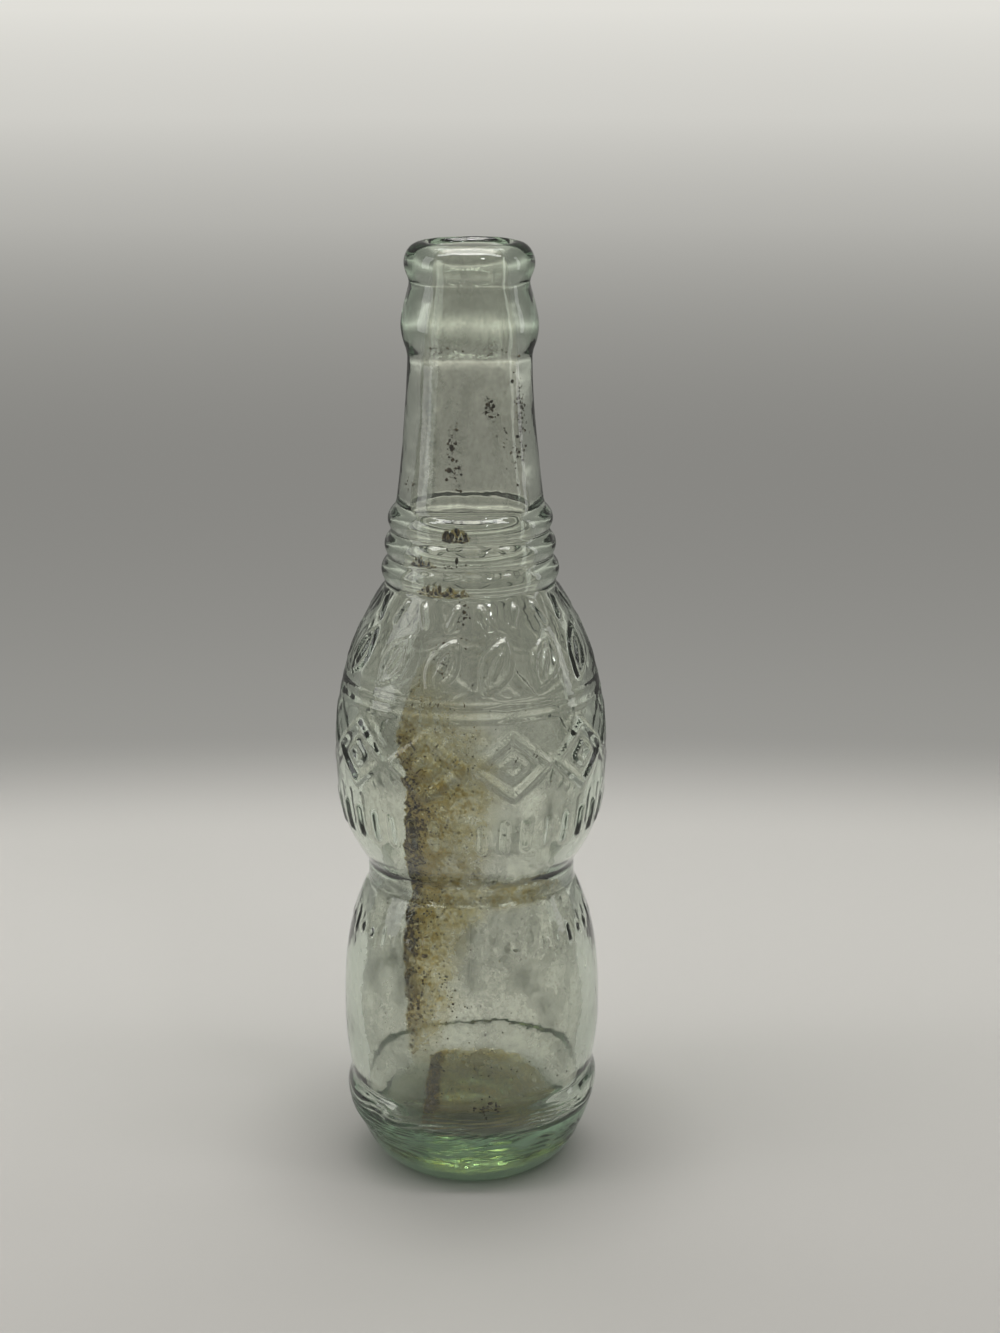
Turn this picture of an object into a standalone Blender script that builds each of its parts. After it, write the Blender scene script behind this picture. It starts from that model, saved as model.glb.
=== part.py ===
# A moulded glass soda bottle with two bulges, a waist band, neck rings and a crown finish.
# It stands on the origin with +Z up. Azimuth 0 is its front, at -Y, and grows towards +X.

import math

import bmesh
import bpy

MM = 0.001

# Heights of the sections, stacked from the table up
HEEL_HEIGHT = 8.9 * MM
BASE_BAND_HEIGHT = 11.4 * MM
LOWER_BULGE_HEIGHT = 42.6 * MM
WAIST_HEIGHT = 5.8 * MM
UPPER_BULGE_HEIGHT = 59.2 * MM
RING_PITCH = 5.25 * MM
RING_COUNT = 3
NECK_HEIGHT = 31.8 * MM
COLLAR_HEIGHT = 13.6 * MM
LIP_HEIGHT = 7.8 * MM

# How far above its section's foot each one is widest
BASE_BAND_WIDEST = 7.9 * MM
LOWER_BULGE_WIDEST = 14.7 * MM
UPPER_BULGE_WIDEST = 21.8 * MM
COLLAR_WIDEST = 5.1 * MM
LIP_WIDEST = 3.4 * MM

# Outer radii
BEARING_INNER_RADIUS = 15.6 * MM
BEARING_OUTER_RADIUS = 17.9 * MM
HEEL_RADIUS = 24.2 * MM
BASE_BAND_RADIUS = 26.9 * MM
LOWER_WALL_RADIUS = 25.8 * MM
LOWER_BULGE_RADIUS = 27.3 * MM
WAIST_RADIUS = 21.8 * MM
UPPER_BULGE_RADIUS = 28.3 * MM
SHOULDER_RADIUS = 17.3 * MM
NECK_FOOT_RADIUS = 15.2 * MM
NECK_TOP_RADIUS = 12.6 * MM
COLLAR_RADIUS = 13.95 * MM
RECESS_RADIUS = 12.0 * MM
LIP_RADIUS = 13.3 * MM
LAND_OUTER_RADIUS = 9.8 * MM
LAND_INNER_RADIUS = 9.0 * MM

# Small steps and rounds on the outside
RING_PROUD = 1.45 * MM
BASE_BAND_STEP = 0.45 * MM
HEEL_STEP = 0.35 * MM
WAIST_STEP = 0.4 * MM
WAIST_CREASE = 0.35 * MM
COLLAR_STEP = 0.25 * MM
HEEL_BOW = 1.0 * MM
KICK_DEPTH = 1.8 * MM
KICK_RIM = 1.2 * MM

# The glass and the hollow in it
WALL = 3.7 * MM
WAIST_WALL = 5.6 * MM
NECK_WALL = 3.0 * MM
COLLAR_WALL = 4.9 * MM
BASE_WALL = 3.6 * MM
BORE_RADIUS = 7.8 * MM
MOUTH_ROUND = 1.9 * MM
FLOOR_HEIGHT = 12.5 * MM
FLOOR_FLAT_RADIUS = 19.6 * MM
FLOOR_CORNER = 2.8 * MM

# How full each swelling is: 2 is a parabola, and more is squarer
UPPER_BULGE_TOP_FULLNESS = 2.4
UPPER_BULGE_FOOT_FULLNESS = 2.65
LOWER_BULGE_TOP_FULLNESS = 2.6
LOWER_BULGE_FOOT_FULLNESS = 2.2
BASE_BAND_FULLNESS = 1.7
COLLAR_TOP_FULLNESS = 1.35
COLLAR_FOOT_FULLNESS = 1.9
LIP_FULLNESS = 1.5
NECK_FLARE = 1.6

# Raised ornament: each row of figures is drawn in lines of one section, wider at the root than on top
RELIEF_PROUD = 0.6 * MM
RELIEF_TOP_WIDTH = 0.7 * MM
RELIEF_ROOT = 0.9 * MM
RELIEF_ROOT_WIDTH = 2.0 * MM
RAY_COUNT = 20
RAY_HEIGHT = 3.6 * MM
RAY_LEAN_ANGLE = 24.0
RAYS_BELOW_SHOULDER = 3.7 * MM
LEAF_COUNT = 14
LEAF_WIDTH = 5.0 * MM
LEAF_LENGTH = 10.2 * MM
LEAF_LEAN_ANGLE = 28.0
LEAVES_BELOW_SHOULDER = 12.6 * MM
LOZENGE_COUNT = 10
LOZENGE_WIDTH = 15.6 * MM
LOZENGE_HEIGHT = 12.6 * MM
LOZENGES_ABOVE_WIDEST = 4.9 * MM
BAR_COUNT = 36
BAR_HEIGHT = 5.2 * MM
BARS_ABOVE_WAIST = 11.9 * MM

# Dried film on the inner wall and floor
FILM_GAP = 0.3 * MM
FILM_THICKNESS = 0.4 * MM
STREAK_TOP_BELOW_SHOULDER = 15.0 * MM
STREAK_FOOT_ABOVE_FLOOR = 20.0 * MM
STREAK_LEFT_ANGLE = -38.0
STREAK_TOP_RIGHT_ANGLE = -12.0
STREAK_MIDDLE_RIGHT_ANGLE = 8.0
STREAK_FOOT_RIGHT_ANGLE = -14.0
FLOOR_STRIP_OFFSET = -8.0 * MM
FLOOR_STRIP_WIDTH = 4.4 * MM
FLOOR_STRIP_MARGIN = 2.0 * MM
# Each fleck's height above the shoulder, azimuth in degrees, width and height
FLECKS = {
    "residue_fleck_shoulder": (-2.6 * MM, -20.0, 11.0 * MM, 2.2 * MM),
    "residue_fleck_low_ring": (4.6 * MM, -32.0, 5.0 * MM, 1.6 * MM),
    "residue_fleck_middle_ring": (10.4 * MM, -12.0, 4.0 * MM, 1.4 * MM),
}

# How finely the curves are cut into faces
TURN_STEPS = 44
INNER_STEP = 14.0 * MM
FILM_STEP = 5.0 * MM
HEEL_TOP = HEEL_HEIGHT
BAND_TOP = HEEL_TOP + BASE_BAND_HEIGHT
WAIST_FOOT = BAND_TOP + LOWER_BULGE_HEIGHT
WAIST_TOP = WAIST_FOOT + WAIST_HEIGHT
SHOULDER = WAIST_TOP + UPPER_BULGE_HEIGHT
NECK_FOOT = SHOULDER + RING_COUNT * RING_PITCH
NECK_TOP = NECK_FOOT + NECK_HEIGHT
RECESS = NECK_TOP + COLLAR_HEIGHT
TOP = RECESS + LIP_HEIGHT
LOWER_WIDEST = BAND_TOP + LOWER_BULGE_WIDEST
UPPER_WIDEST = WAIST_TOP + UPPER_BULGE_WIDEST


def between(low, high, share):
    return low + (high - low) * share


def swell(wide, end, fullness, steps):
    """Points from just after a swelling's widest place to its end."""
    points = []
    for i in range(1, steps + 1):
        share = i / steps
        radius = between(wide[0], end[0], share**fullness)
        points.append((radius, between(wide[1], end[1], share)))
    return points


def rise_to(wide, end, fullness, steps):
    """The same curve the other way: from its end to just before the widest place."""
    return swell(wide, end, fullness, steps)[::-1]


def bow(start, end, proud, steps):
    """Points after start, on the arc to end that stands proud of the straight line between them."""
    dr, dz = end[0] - start[0], end[1] - start[1]
    chord = math.hypot(dr, dz)
    radius = (chord * chord / 4 + proud * proud) / (2 * proud)
    half = math.asin(min(1.0, chord / 2 / radius))
    out_r, out_z = -dz / chord, dr / chord
    points = []
    for i in range(1, steps + 1):
        angle = between(-half, half, i / steps)
        along = 0.5 + math.sin(angle) / (2 * math.sin(half))
        lift = radius * (math.cos(angle) - math.cos(half))
        points.append((start[0] + dr * along + out_r * lift, start[1] + dz * along + out_z * lift))
    return points


def quarter(level, upright, steps):
    """Points after level, on the quarter ellipse that starts level and ends upright."""
    points = []
    for i in range(1, steps + 1):
        angle = math.pi / 2 * i / steps
        radius = between(level[0], upright[0], math.sin(angle))
        points.append((radius, between(upright[1], level[1], math.cos(angle))))
    return points


def swelling_radius(z):
    """The outer radius of the two bulges at a height, without the ornament."""
    if z >= UPPER_WIDEST:
        wide, end, height, far, fullness = (
            UPPER_BULGE_RADIUS, SHOULDER_RADIUS, UPPER_WIDEST, SHOULDER, UPPER_BULGE_TOP_FULLNESS)
    elif z >= WAIST_TOP:
        wide, end, height, far, fullness = (
            UPPER_BULGE_RADIUS, WAIST_RADIUS + WAIST_STEP, UPPER_WIDEST, WAIST_TOP, UPPER_BULGE_FOOT_FULLNESS)
    elif z >= WAIST_FOOT:
        return WAIST_RADIUS
    elif z >= LOWER_WIDEST:
        wide, end, height, far, fullness = (
            LOWER_BULGE_RADIUS, WAIST_RADIUS + WAIST_STEP, LOWER_WIDEST, WAIST_FOOT, LOWER_BULGE_TOP_FULLNESS)
    else:
        wide, end, height, far, fullness = (
            LOWER_BULGE_RADIUS, LOWER_WALL_RADIUS, LOWER_WIDEST, BAND_TOP, LOWER_BULGE_FOOT_FULLNESS)
    share = min(1.0, (z - height) / (far - height))
    return between(wide, end, share**fullness)


def outer_profile():
    """The outside, from the land on the lip down to the middle of the kick."""
    points = [(LAND_OUTER_RADIUS, TOP)]
    lip_widest = (LIP_RADIUS, RECESS + LIP_WIDEST)
    points += quarter(points[0], lip_widest, 3)
    points += swell(lip_widest, (RECESS_RADIUS, RECESS), LIP_FULLNESS, 3)

    collar_widest = (COLLAR_RADIUS, NECK_TOP + COLLAR_WIDEST)
    points += rise_to(collar_widest, (RECESS_RADIUS, RECESS), COLLAR_TOP_FULLNESS, 3)[1:]
    points += [collar_widest]
    points += swell(collar_widest, (NECK_TOP_RADIUS + COLLAR_STEP, NECK_TOP), COLLAR_FOOT_FULLNESS, 3)

    neck_steps = 4
    for i in range(neck_steps):
        share = i / neck_steps
        radius = between(NECK_TOP_RADIUS, NECK_FOOT_RADIUS, share**NECK_FLARE)
        points.append((radius, between(NECK_TOP - COLLAR_STEP, NECK_FOOT, share)))

    grooves = []
    for i in range(RING_COUNT + 1):
        radius = between(NECK_FOOT_RADIUS, SHOULDER_RADIUS, i / RING_COUNT)
        grooves.append((radius, NECK_FOOT - i * RING_PITCH))
    points.append(grooves[0])
    for above, below in zip(grooves, grooves[1:]):
        points += bow(above, below, RING_PROUD, 4)

    waist_top = (WAIST_RADIUS + WAIST_STEP, WAIST_TOP)
    waist_foot = (WAIST_RADIUS + WAIST_STEP, WAIST_FOOT)
    upper_widest = (UPPER_BULGE_RADIUS, UPPER_WIDEST)
    points += rise_to(upper_widest, grooves[-1], UPPER_BULGE_TOP_FULLNESS, 7)[1:]
    points += [upper_widest]
    points += swell(upper_widest, waist_top, UPPER_BULGE_FOOT_FULLNESS, 5)
    points += [(WAIST_RADIUS, WAIST_TOP - WAIST_CREASE), (WAIST_RADIUS, WAIST_FOOT + WAIST_CREASE)]

    lower_widest = (LOWER_BULGE_RADIUS, LOWER_WIDEST)
    points += rise_to(lower_widest, waist_foot, LOWER_BULGE_TOP_FULLNESS, 5)
    points += [lower_widest]
    points += swell(lower_widest, (LOWER_WALL_RADIUS, BAND_TOP), LOWER_BULGE_FOOT_FULLNESS, 3)

    band_widest = (BASE_BAND_RADIUS, HEEL_TOP + BASE_BAND_WIDEST)
    points += bow(points[-1], band_widest, BASE_BAND_STEP, 2)
    points += swell(band_widest, (HEEL_RADIUS + HEEL_STEP, HEEL_TOP + HEEL_STEP), BASE_BAND_FULLNESS, 3)
    heel = (HEEL_RADIUS, HEEL_TOP)
    points += [heel]
    points += bow(heel, (BEARING_OUTER_RADIUS, 0), HEEL_BOW, 4)
    points += [(BEARING_INNER_RADIUS, 0), (BEARING_INNER_RADIUS - KICK_RIM, KICK_RIM)]
    points += [(0, KICK_DEPTH)]
    return points


def inner_stations():
    """Where the hollow's wall passes, as (height, radius) from the floor's corner up to the bore."""
    stations = [(FLOOR_HEIGHT + FLOOR_CORNER, LOWER_WALL_RADIUS - BASE_WALL)]
    lower = (0.0, 0.6, 0.88)
    upper_foot = (0.88, 0.6)
    upper_top = (0.0, 0.4, 0.7, 0.9)
    for share in lower:
        z = between(LOWER_WIDEST, WAIST_FOOT, share)
        stations.append((z, swelling_radius(z) - WALL))
    stations.append((between(WAIST_FOOT, WAIST_TOP, 0.5), WAIST_RADIUS - WAIST_WALL))
    for share in upper_foot:
        z = between(UPPER_WIDEST, WAIST_TOP, share)
        stations.append((z, swelling_radius(z) - WALL))
    for share in upper_top:
        z = between(UPPER_WIDEST, SHOULDER, share)
        stations.append((z, swelling_radius(z) - WALL))
    stations.append((SHOULDER, SHOULDER_RADIUS - NECK_WALL))
    stations.append((NECK_FOOT, NECK_FOOT_RADIUS - NECK_WALL))
    middle = between(NECK_TOP_RADIUS, NECK_FOOT_RADIUS, 0.5**NECK_FLARE)
    stations.append((between(NECK_TOP, NECK_FOOT, 0.5), middle - NECK_WALL))
    stations.append((NECK_TOP + COLLAR_WIDEST, COLLAR_RADIUS - COLLAR_WALL))
    stations.append((RECESS, BORE_RADIUS))
    stations.append((TOP - MOUTH_ROUND, BORE_RADIUS))
    return stations


def station_slopes(stations):
    """A slope at each station that lets the curve through them overshoot none."""
    steps = [(b[1] - a[1]) / (b[0] - a[0]) for a, b in zip(stations, stations[1:])]
    slopes = [0.0]
    for before, after in zip(steps, steps[1:]):
        slopes.append(0.0 if before * after <= 0 else 2 * before * after / (before + after))
    return slopes + [steps[-1]]


def inner_radius(z):
    """The radius of the hollow at a height above the floor's corner."""
    stations = inner_stations()
    slopes = station_slopes(stations)
    z = min(max(z, stations[0][0]), stations[-1][0])
    for i, (low, high) in enumerate(zip(stations, stations[1:])):
        if z <= high[0]:
            break
    span = high[0] - low[0]
    t = (z - low[0]) / span
    ease = t * t * (3 - 2 * t)
    bend = t * (1 - t) * ((1 - t) * slopes[i] - t * slopes[i + 1]) * span
    return between(low[1], high[1], ease) + bend


def inner_profile():
    """The hollow, from the middle of its floor up to the land on the lip."""
    wall_foot = (inner_stations()[0][1], FLOOR_HEIGHT + FLOOR_CORNER)
    points = [(0, FLOOR_HEIGHT), (FLOOR_FLAT_RADIUS, FLOOR_HEIGHT)]
    points += quarter(points[-1], wall_foot, 3)
    for (low, _), (high, _) in zip(inner_stations(), inner_stations()[1:]):
        steps = math.ceil((high - low) / INNER_STEP)
        for i in range(1, steps + 1):
            z = between(low, high, i / steps)
            points.append((inner_radius(z), z))
    mouth = points[-1]
    points += quarter((LAND_INNER_RADIUS, TOP), mouth, 3)[::-1][1:]
    return points + [(LAND_INNER_RADIUS, TOP)]


def new_object(name, mesh, collection):
    obj = bpy.data.objects.new(name, mesh)
    collection.objects.link(obj)
    return obj


def mesh_from(name, bm):
    bmesh.ops.recalc_face_normals(bm, faces=bm.faces)
    mesh = bpy.data.meshes.new(name)
    bm.to_mesh(mesh)
    bm.free()
    return mesh


def material(name, colour, roughness, transmission=0.0):
    mat = bpy.data.materials.new(name)
    mat.use_nodes = True
    shader = mat.node_tree.nodes["Principled BSDF"]
    shader.inputs["Base Color"].default_value = (*colour, 1.0)
    shader.inputs["Roughness"].default_value = roughness
    shader.inputs["Metallic"].default_value = 0.0
    shader.inputs["Transmission Weight"].default_value = transmission
    return mat


def place(azimuth, radius, z):
    """The point at an azimuth in radians, counted from the front towards +X."""
    return (radius * math.sin(azimuth), -radius * math.cos(azimuth), z)


def wrap(bm, azimuth, centre_height, radius_at):
    """Bends flat work, x across, y up and z outwards, round the bottle at a height."""
    reach = radius_at(centre_height)
    for vertex in bm.verts:
        across, up, out = vertex.co
        z = centre_height + up
        vertex.co = place(azimuth + across / reach, radius_at(z) + out, z)


def ridge(bm, path, closed=False):
    """Adds one raised line along a flat path to a mesh, mitred at its corners."""
    rails = [(-RELIEF_ROOT_WIDTH / 2, -RELIEF_ROOT), (-RELIEF_TOP_WIDTH / 2, RELIEF_PROUD),
             (RELIEF_TOP_WIDTH / 2, RELIEF_PROUD), (RELIEF_ROOT_WIDTH / 2, -RELIEF_ROOT)]
    runs = []
    for start, end in zip(path, path[1:] + path[:1]):
        length = math.dist(start, end)
        runs.append(((end[0] - start[0]) / length, (end[1] - start[1]) / length))
    if not closed:
        runs[-1] = runs[-2]
    sections = []
    for i, (x, y) in enumerate(path):
        before, after = runs[i - 1 if i or closed else 0], runs[i]
        along = (before[0] + after[0], before[1] + after[1])
        mitre = 2 / (along[0] ** 2 + along[1] ** 2)
        sections.append([bm.verts.new((x - along[1] * mitre * aside, y + along[0] * mitre * aside, level))
                         for aside, level in rails])
    following = sections[1:] + (sections[:1] if closed else [])
    for one, other in zip(sections, following):
        for i in range(len(rails)):
            j = (i + 1) % len(rails)
            bm.faces.new((one[i], one[j], other[j], other[i]))
    if not closed:
        bm.faces.new(sections[0])
        bm.faces.new(sections[-1])


def leaned(path, degrees):
    """The same path with its top leaned over to the right."""
    lean = math.radians(degrees)
    return [(x * math.cos(lean) + y * math.sin(lean), y * math.cos(lean) - x * math.sin(lean)) for x, y in path]


def ray(bm, turn):
    """A short stroke that leans to one side and then to the other."""
    side = 1 if turn % 2 else -1
    ridge(bm, leaned([(0, -RAY_HEIGHT / 2), (0, RAY_HEIGHT / 2)], side * RAY_LEAN_ANGLE))


def leaf(bm, turn):
    """The outline of a slender leaf, pointed at both ends."""
    side_steps = 4
    path = []
    for side in (1, -1):
        for i in range(side_steps):
            share = i / side_steps
            across = side * LEAF_WIDTH / 2 * math.sin(math.pi * share)
            path.append((across, side * (share - 0.5) * LEAF_LENGTH))
    ridge(bm, leaned(path, LEAF_LEAN_ANGLE), closed=True)


def lozenge(bm, turn):
    """The outline of a lozenge, with points along its sides so that it bends round the wall."""
    side_steps = 2
    reach, high = LOZENGE_WIDTH / 2, LOZENGE_HEIGHT / 2
    corners = [(reach, 0), (0, high), (-reach, 0), (0, -high)]
    path = []
    for a, b in zip(corners, corners[1:] + corners[:1]):
        for i in range(side_steps):
            path.append((between(a[0], b[0], i / side_steps), between(a[1], b[1], i / side_steps)))
    ridge(bm, path, closed=True)


def bar(bm, turn):
    """An upright stroke."""
    ridge(bm, [(0, -BAR_HEIGHT / 2), (0, BAR_HEIGHT / 2)])


def relief_object(name, draw, count, centre_height, collection):
    """Makes one object with a raised figure repeated round the bottle."""
    whole = bmesh.new()
    for i in range(count):
        one = bmesh.new()
        draw(one, i)
        wrap(one, math.tau * (i + 0.5) / count, centre_height, swelling_radius)
        part = mesh_from(name, one)
        whole.from_mesh(part)
        bpy.data.meshes.remove(part)
    obj = new_object(name, mesh_from(name, whole), collection)
    obj.hide_render = True
    obj.display_type = "WIRE"


def make_glass(collection, guides):
    """The whole bottle: one turned profile with the raised ornament joined on."""
    mesh = bpy.data.meshes.new("glass_bottle")
    profile = inner_profile() + outer_profile()
    vertices = [(r, 0, z) for r, z in profile]
    edges = [(i, i + 1) for i in range(len(vertices) - 1)]
    mesh.from_pydata(vertices, edges, [])
    bottle = new_object("glass_bottle", mesh, collection)

    turn = bottle.modifiers.new("turn", "SCREW")
    turn.axis = "Z"
    turn.steps = TURN_STEPS
    turn.render_steps = TURN_STEPS
    turn.use_merge_vertices = True
    turn.merge_threshold = 0.00001
    turn.use_smooth_shade = True

    relief_object("ray_relief", ray, RAY_COUNT, SHOULDER - RAYS_BELOW_SHOULDER, guides)
    relief_object("leaf_relief", leaf, LEAF_COUNT, SHOULDER - LEAVES_BELOW_SHOULDER, guides)
    relief_object("lozenge_relief", lozenge, LOZENGE_COUNT, UPPER_WIDEST + LOZENGES_ABOVE_WIDEST, guides)
    relief_object("bar_relief", bar, BAR_COUNT, WAIST_TOP + BARS_ABOVE_WAIST, guides)
    join = bottle.modifiers.new("relief", "BOOLEAN")
    join.operation = "UNION"
    join.solver = "EXACT"
    join.use_self = True
    join.operand_type = "COLLECTION"
    join.collection = guides
    bottle.data.materials.append(material("clear_glass", (0.80, 0.90, 0.86), 0.03, transmission=1.0))
    return bottle


def wall_radius(z):
    """The radius of the hollow at a height, measured to the flats that the turned profile is cut into."""
    wall = [(height, radius) for radius, height in inner_profile() if height >= FLOOR_HEIGHT + FLOOR_CORNER]
    for low, high in zip(wall, wall[1:]):
        if z <= high[0]:
            break
    share = (z - low[0]) / (high[0] - low[0])
    return between(low[1], high[1], share) * math.cos(math.pi / TURN_STEPS)


def film_rows(low, high):
    """Heights from low to high that take in every height where the hollow's wall bends."""
    bends = [low] + [height for _, height in inner_profile() if low < height < high] + [high]
    rows = [low]
    for foot, head in zip(bends, bends[1:]):
        steps = math.ceil((head - foot) / FILM_STEP)
        rows += [between(foot, head, i / steps) for i in range(1, steps + 1)]
    return rows


def film(bm, across_steps, azimuths_at, low, high):
    """Adds a patch on the hollow's wall to a mesh, from a flat grid bent to the wall."""
    rows = film_rows(low, high)
    made = bmesh.ops.create_grid(bm, x_segments=across_steps, y_segments=len(rows) - 1, size=0.5)
    for vertex in made["verts"]:
        across, up, _ = vertex.co
        z = rows[round((up + 0.5) * (len(rows) - 1))]
        left, right = azimuths_at((z - low) / (high - low))
        azimuth = math.radians(between(left, right, across + 0.5))
        vertex.co = place(azimuth, wall_radius(z) - FILM_GAP, z)


def thicken(obj, inwards):
    shell = obj.modifiers.new("thickness", "SOLIDIFY")
    shell.thickness = FILM_THICKNESS
    shell.offset = inwards
    obj.data.materials.append(bpy.data.materials["dried_residue"])


def streak_edges(share):
    """The streak's left and right azimuths, in degrees, at a share of its height."""
    middle = 0.6
    if share < middle:
        right = between(STREAK_FOOT_RIGHT_ANGLE, STREAK_MIDDLE_RIGHT_ANGLE, share / middle)
    else:
        right = between(STREAK_MIDDLE_RIGHT_ANGLE, STREAK_TOP_RIGHT_ANGLE, (share - middle) / (1 - middle))
    return STREAK_LEFT_ANGLE, right


def make_streak(collection):
    bm = bmesh.new()
    low = FLOOR_HEIGHT + STREAK_FOOT_ABOVE_FLOOR
    high = SHOULDER - STREAK_TOP_BELOW_SHOULDER
    film(bm, 5, streak_edges, low, high)
    streak = new_object("residue_streak", mesh_from("residue_streak", bm), collection)
    thicken(streak, -1.0)


def make_flecks(collection):
    for name, (above, azimuth, width, height) in FLECKS.items():
        centre = SHOULDER + above
        half = math.degrees(width / 2 / wall_radius(centre))
        bm = bmesh.new()
        edges = (azimuth - half, azimuth + half)
        film(bm, 4, lambda share, edges=edges: edges, centre - height / 2, centre + height / 2)
        thicken(new_object(name, mesh_from(name, bm), collection), -1.0)


def make_floor_strip(collection):
    bm = bmesh.new()
    made = bmesh.ops.create_grid(bm, x_segments=1, y_segments=6, size=0.5)
    reach = FLOOR_FLAT_RADIUS - FLOOR_STRIP_MARGIN
    half_length = math.sqrt(reach**2 - (abs(FLOOR_STRIP_OFFSET) + FLOOR_STRIP_WIDTH / 2) ** 2)
    for vertex in made["verts"]:
        x, y, _ = vertex.co
        height = FLOOR_HEIGHT + FILM_GAP
        vertex.co = (FLOOR_STRIP_OFFSET + x * FLOOR_STRIP_WIDTH, 2 * y * half_length, height)
    strip = new_object("residue_floor_strip", mesh_from("residue_floor_strip", bm), collection)
    thicken(strip, 1.0)


def clear_scene():
    for obj in list(bpy.data.objects):
        bpy.data.objects.remove(obj)


def new_collection(name):
    collection = bpy.data.collections.new(name)
    bpy.context.scene.collection.children.link(collection)
    return collection


def main():
    clear_scene()
    bottle_parts = new_collection("soda_bottle")
    guides = new_collection("relief_guides")
    make_glass(bottle_parts, guides)
    material("dried_residue", (0.36, 0.24, 0.09), 0.85)
    make_streak(bottle_parts)
    make_flecks(bottle_parts)
    make_floor_strip(bottle_parts)


main()
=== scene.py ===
# The looks of a moulded glass soda bottle: wavy clear glass with raised ornament, the residue, haze and grit
# dried inside it, and the plain studio that it stands in.
import itertools
import math
import random

import bmesh
import bpy
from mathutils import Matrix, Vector, noise
from mathutils.bvhtree import BVHTree


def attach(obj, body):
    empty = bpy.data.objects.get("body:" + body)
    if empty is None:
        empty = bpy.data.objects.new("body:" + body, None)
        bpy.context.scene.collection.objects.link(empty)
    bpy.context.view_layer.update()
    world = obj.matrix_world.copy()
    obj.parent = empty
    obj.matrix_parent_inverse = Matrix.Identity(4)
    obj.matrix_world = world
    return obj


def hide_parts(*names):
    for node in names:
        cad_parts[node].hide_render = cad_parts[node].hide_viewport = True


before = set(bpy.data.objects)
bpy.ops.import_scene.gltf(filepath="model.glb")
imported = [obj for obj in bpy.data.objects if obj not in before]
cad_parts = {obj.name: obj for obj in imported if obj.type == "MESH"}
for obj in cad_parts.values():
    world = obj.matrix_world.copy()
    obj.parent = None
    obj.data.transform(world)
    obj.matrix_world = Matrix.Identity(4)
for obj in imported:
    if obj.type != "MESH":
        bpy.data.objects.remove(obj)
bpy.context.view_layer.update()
print("frame loaded:", ", ".join(sorted(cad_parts)))

mm = 0.001  # shapes are drawn in millimetres and scaled when a mesh is made


def linked(name, data):
    # a new object in the scene
    obj = bpy.data.objects.new(name, data)
    bpy.context.scene.collection.objects.link(obj)
    return obj


def mark(mesh, **marks):
    # gives each vertex a number under each mark's name
    for label, values in marks.items():
        mesh.attributes.new(label, "FLOAT", "POINT").data.foreach_set("value", values)


def newMesh(name, vertices, edges=(), faces=(), **marks):
    mesh = bpy.data.meshes.new(name)
    mesh.from_pydata(vertices, edges, faces)
    mark(mesh, **marks)
    return mesh


# Camera

camera = {
    "place": (6.1, -495.2, 245.4),  # mm from the middle of the base
    "tilt": 15.4,  # degrees down
    "focalPixels": 2462.6,
    "picturePixels": 1333,  # the picture's longer side
    "sensor": 36.0,
    "nearest": 0.01, "farthest": 100.0,  # metres
}


def makeCamera():
    data = bpy.data.cameras.new("camera")
    data.sensor_width = camera["sensor"]
    data.lens = camera["focalPixels"] / camera["picturePixels"] * camera["sensor"]
    data.clip_start, data.clip_end = camera["nearest"], camera["farthest"]
    obj = linked("camera", data)
    obj.location = Vector(camera["place"]) * mm
    obj.rotation_euler = (math.radians(90 - camera["tilt"]), 0, 0)
    bpy.context.scene.camera = obj


makeCamera()
bpy.context.scene.view_settings.view_transform = "Standard"


# Node helpers, which find the tree from the sockets that they are given

def plug(socket, value):
    # links another socket, or sets a plain value, with a colour's alpha left at 1
    if isinstance(value, bpy.types.NodeSocket):
        socket.id_data.links.new(value, socket)
    elif socket.type == "RGBA":
        socket.default_value = (*value, 1)
    else:
        socket.default_value = value


def addNode(tree, kind, inputs=(), **settings):
    # a node with its settings, then with what goes into its inputs, by their names or numbers
    node = tree.nodes.new(kind)
    for key, value in settings.items():
        setattr(node, key, value)
    for key, value in dict(inputs).items():
        plug(node.inputs[key], value)
    return node


def flow(tree, kind, inputs=(), **settings):
    # what a node gives by its first output
    return addNode(tree, kind, inputs, **settings).outputs[0]


def treeOf(values):
    return next(value.id_data for value in values if isinstance(value, bpy.types.NodeSocket))


def calc(operation, *values, clamp=False):
    inputs = enumerate(values)
    return flow(treeOf(values), "ShaderNodeMath", inputs, operation=operation, use_clamp=clamp)


def times(*values):
    product = values[0]
    for value in values[1:]:
        product = calc("MULTIPLY", product, value)
    return product


def calcVector(operation, *values, output=0):
    inputs = enumerate(values)
    return addNode(treeOf(values), "ShaderNodeVectorMath", inputs, operation=operation).outputs[output]


def lengthOf(vector):
    return calcVector("LENGTH", vector, output="Value")


def split(vector):
    # the three parts of a vector
    return addNode(vector.id_data, "ShaderNodeSeparateXYZ", {0: vector}).outputs


def joined(tree, **parts):
    return flow(tree, "ShaderNodeCombineXYZ", parts)


def remap(value, fromLow, fromHigh, toLow=0.0, toHigh=1.0, kind="SMOOTHSTEP"):
    inputs = enumerate((value, fromLow, fromHigh, toLow, toHigh))
    return flow(value.id_data, "ShaderNodeMapRange", inputs, interpolation_type=kind)


def noiseValue(place, scale, detail=2.0, rough=0.5, stretch=(1, 1, 1), shift=0.0):
    # noise about 0.5, with its scale in waves per metre
    moved = calcVector("MULTIPLY_ADD", place, stretch, (shift, shift, shift))
    looks = {"Vector": moved, "Scale": scale, "Detail": detail, "Roughness": rough}
    return flow(place.id_data, "ShaderNodeTexNoise", looks)


# Shape of the glass, with every figure in mm

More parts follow.
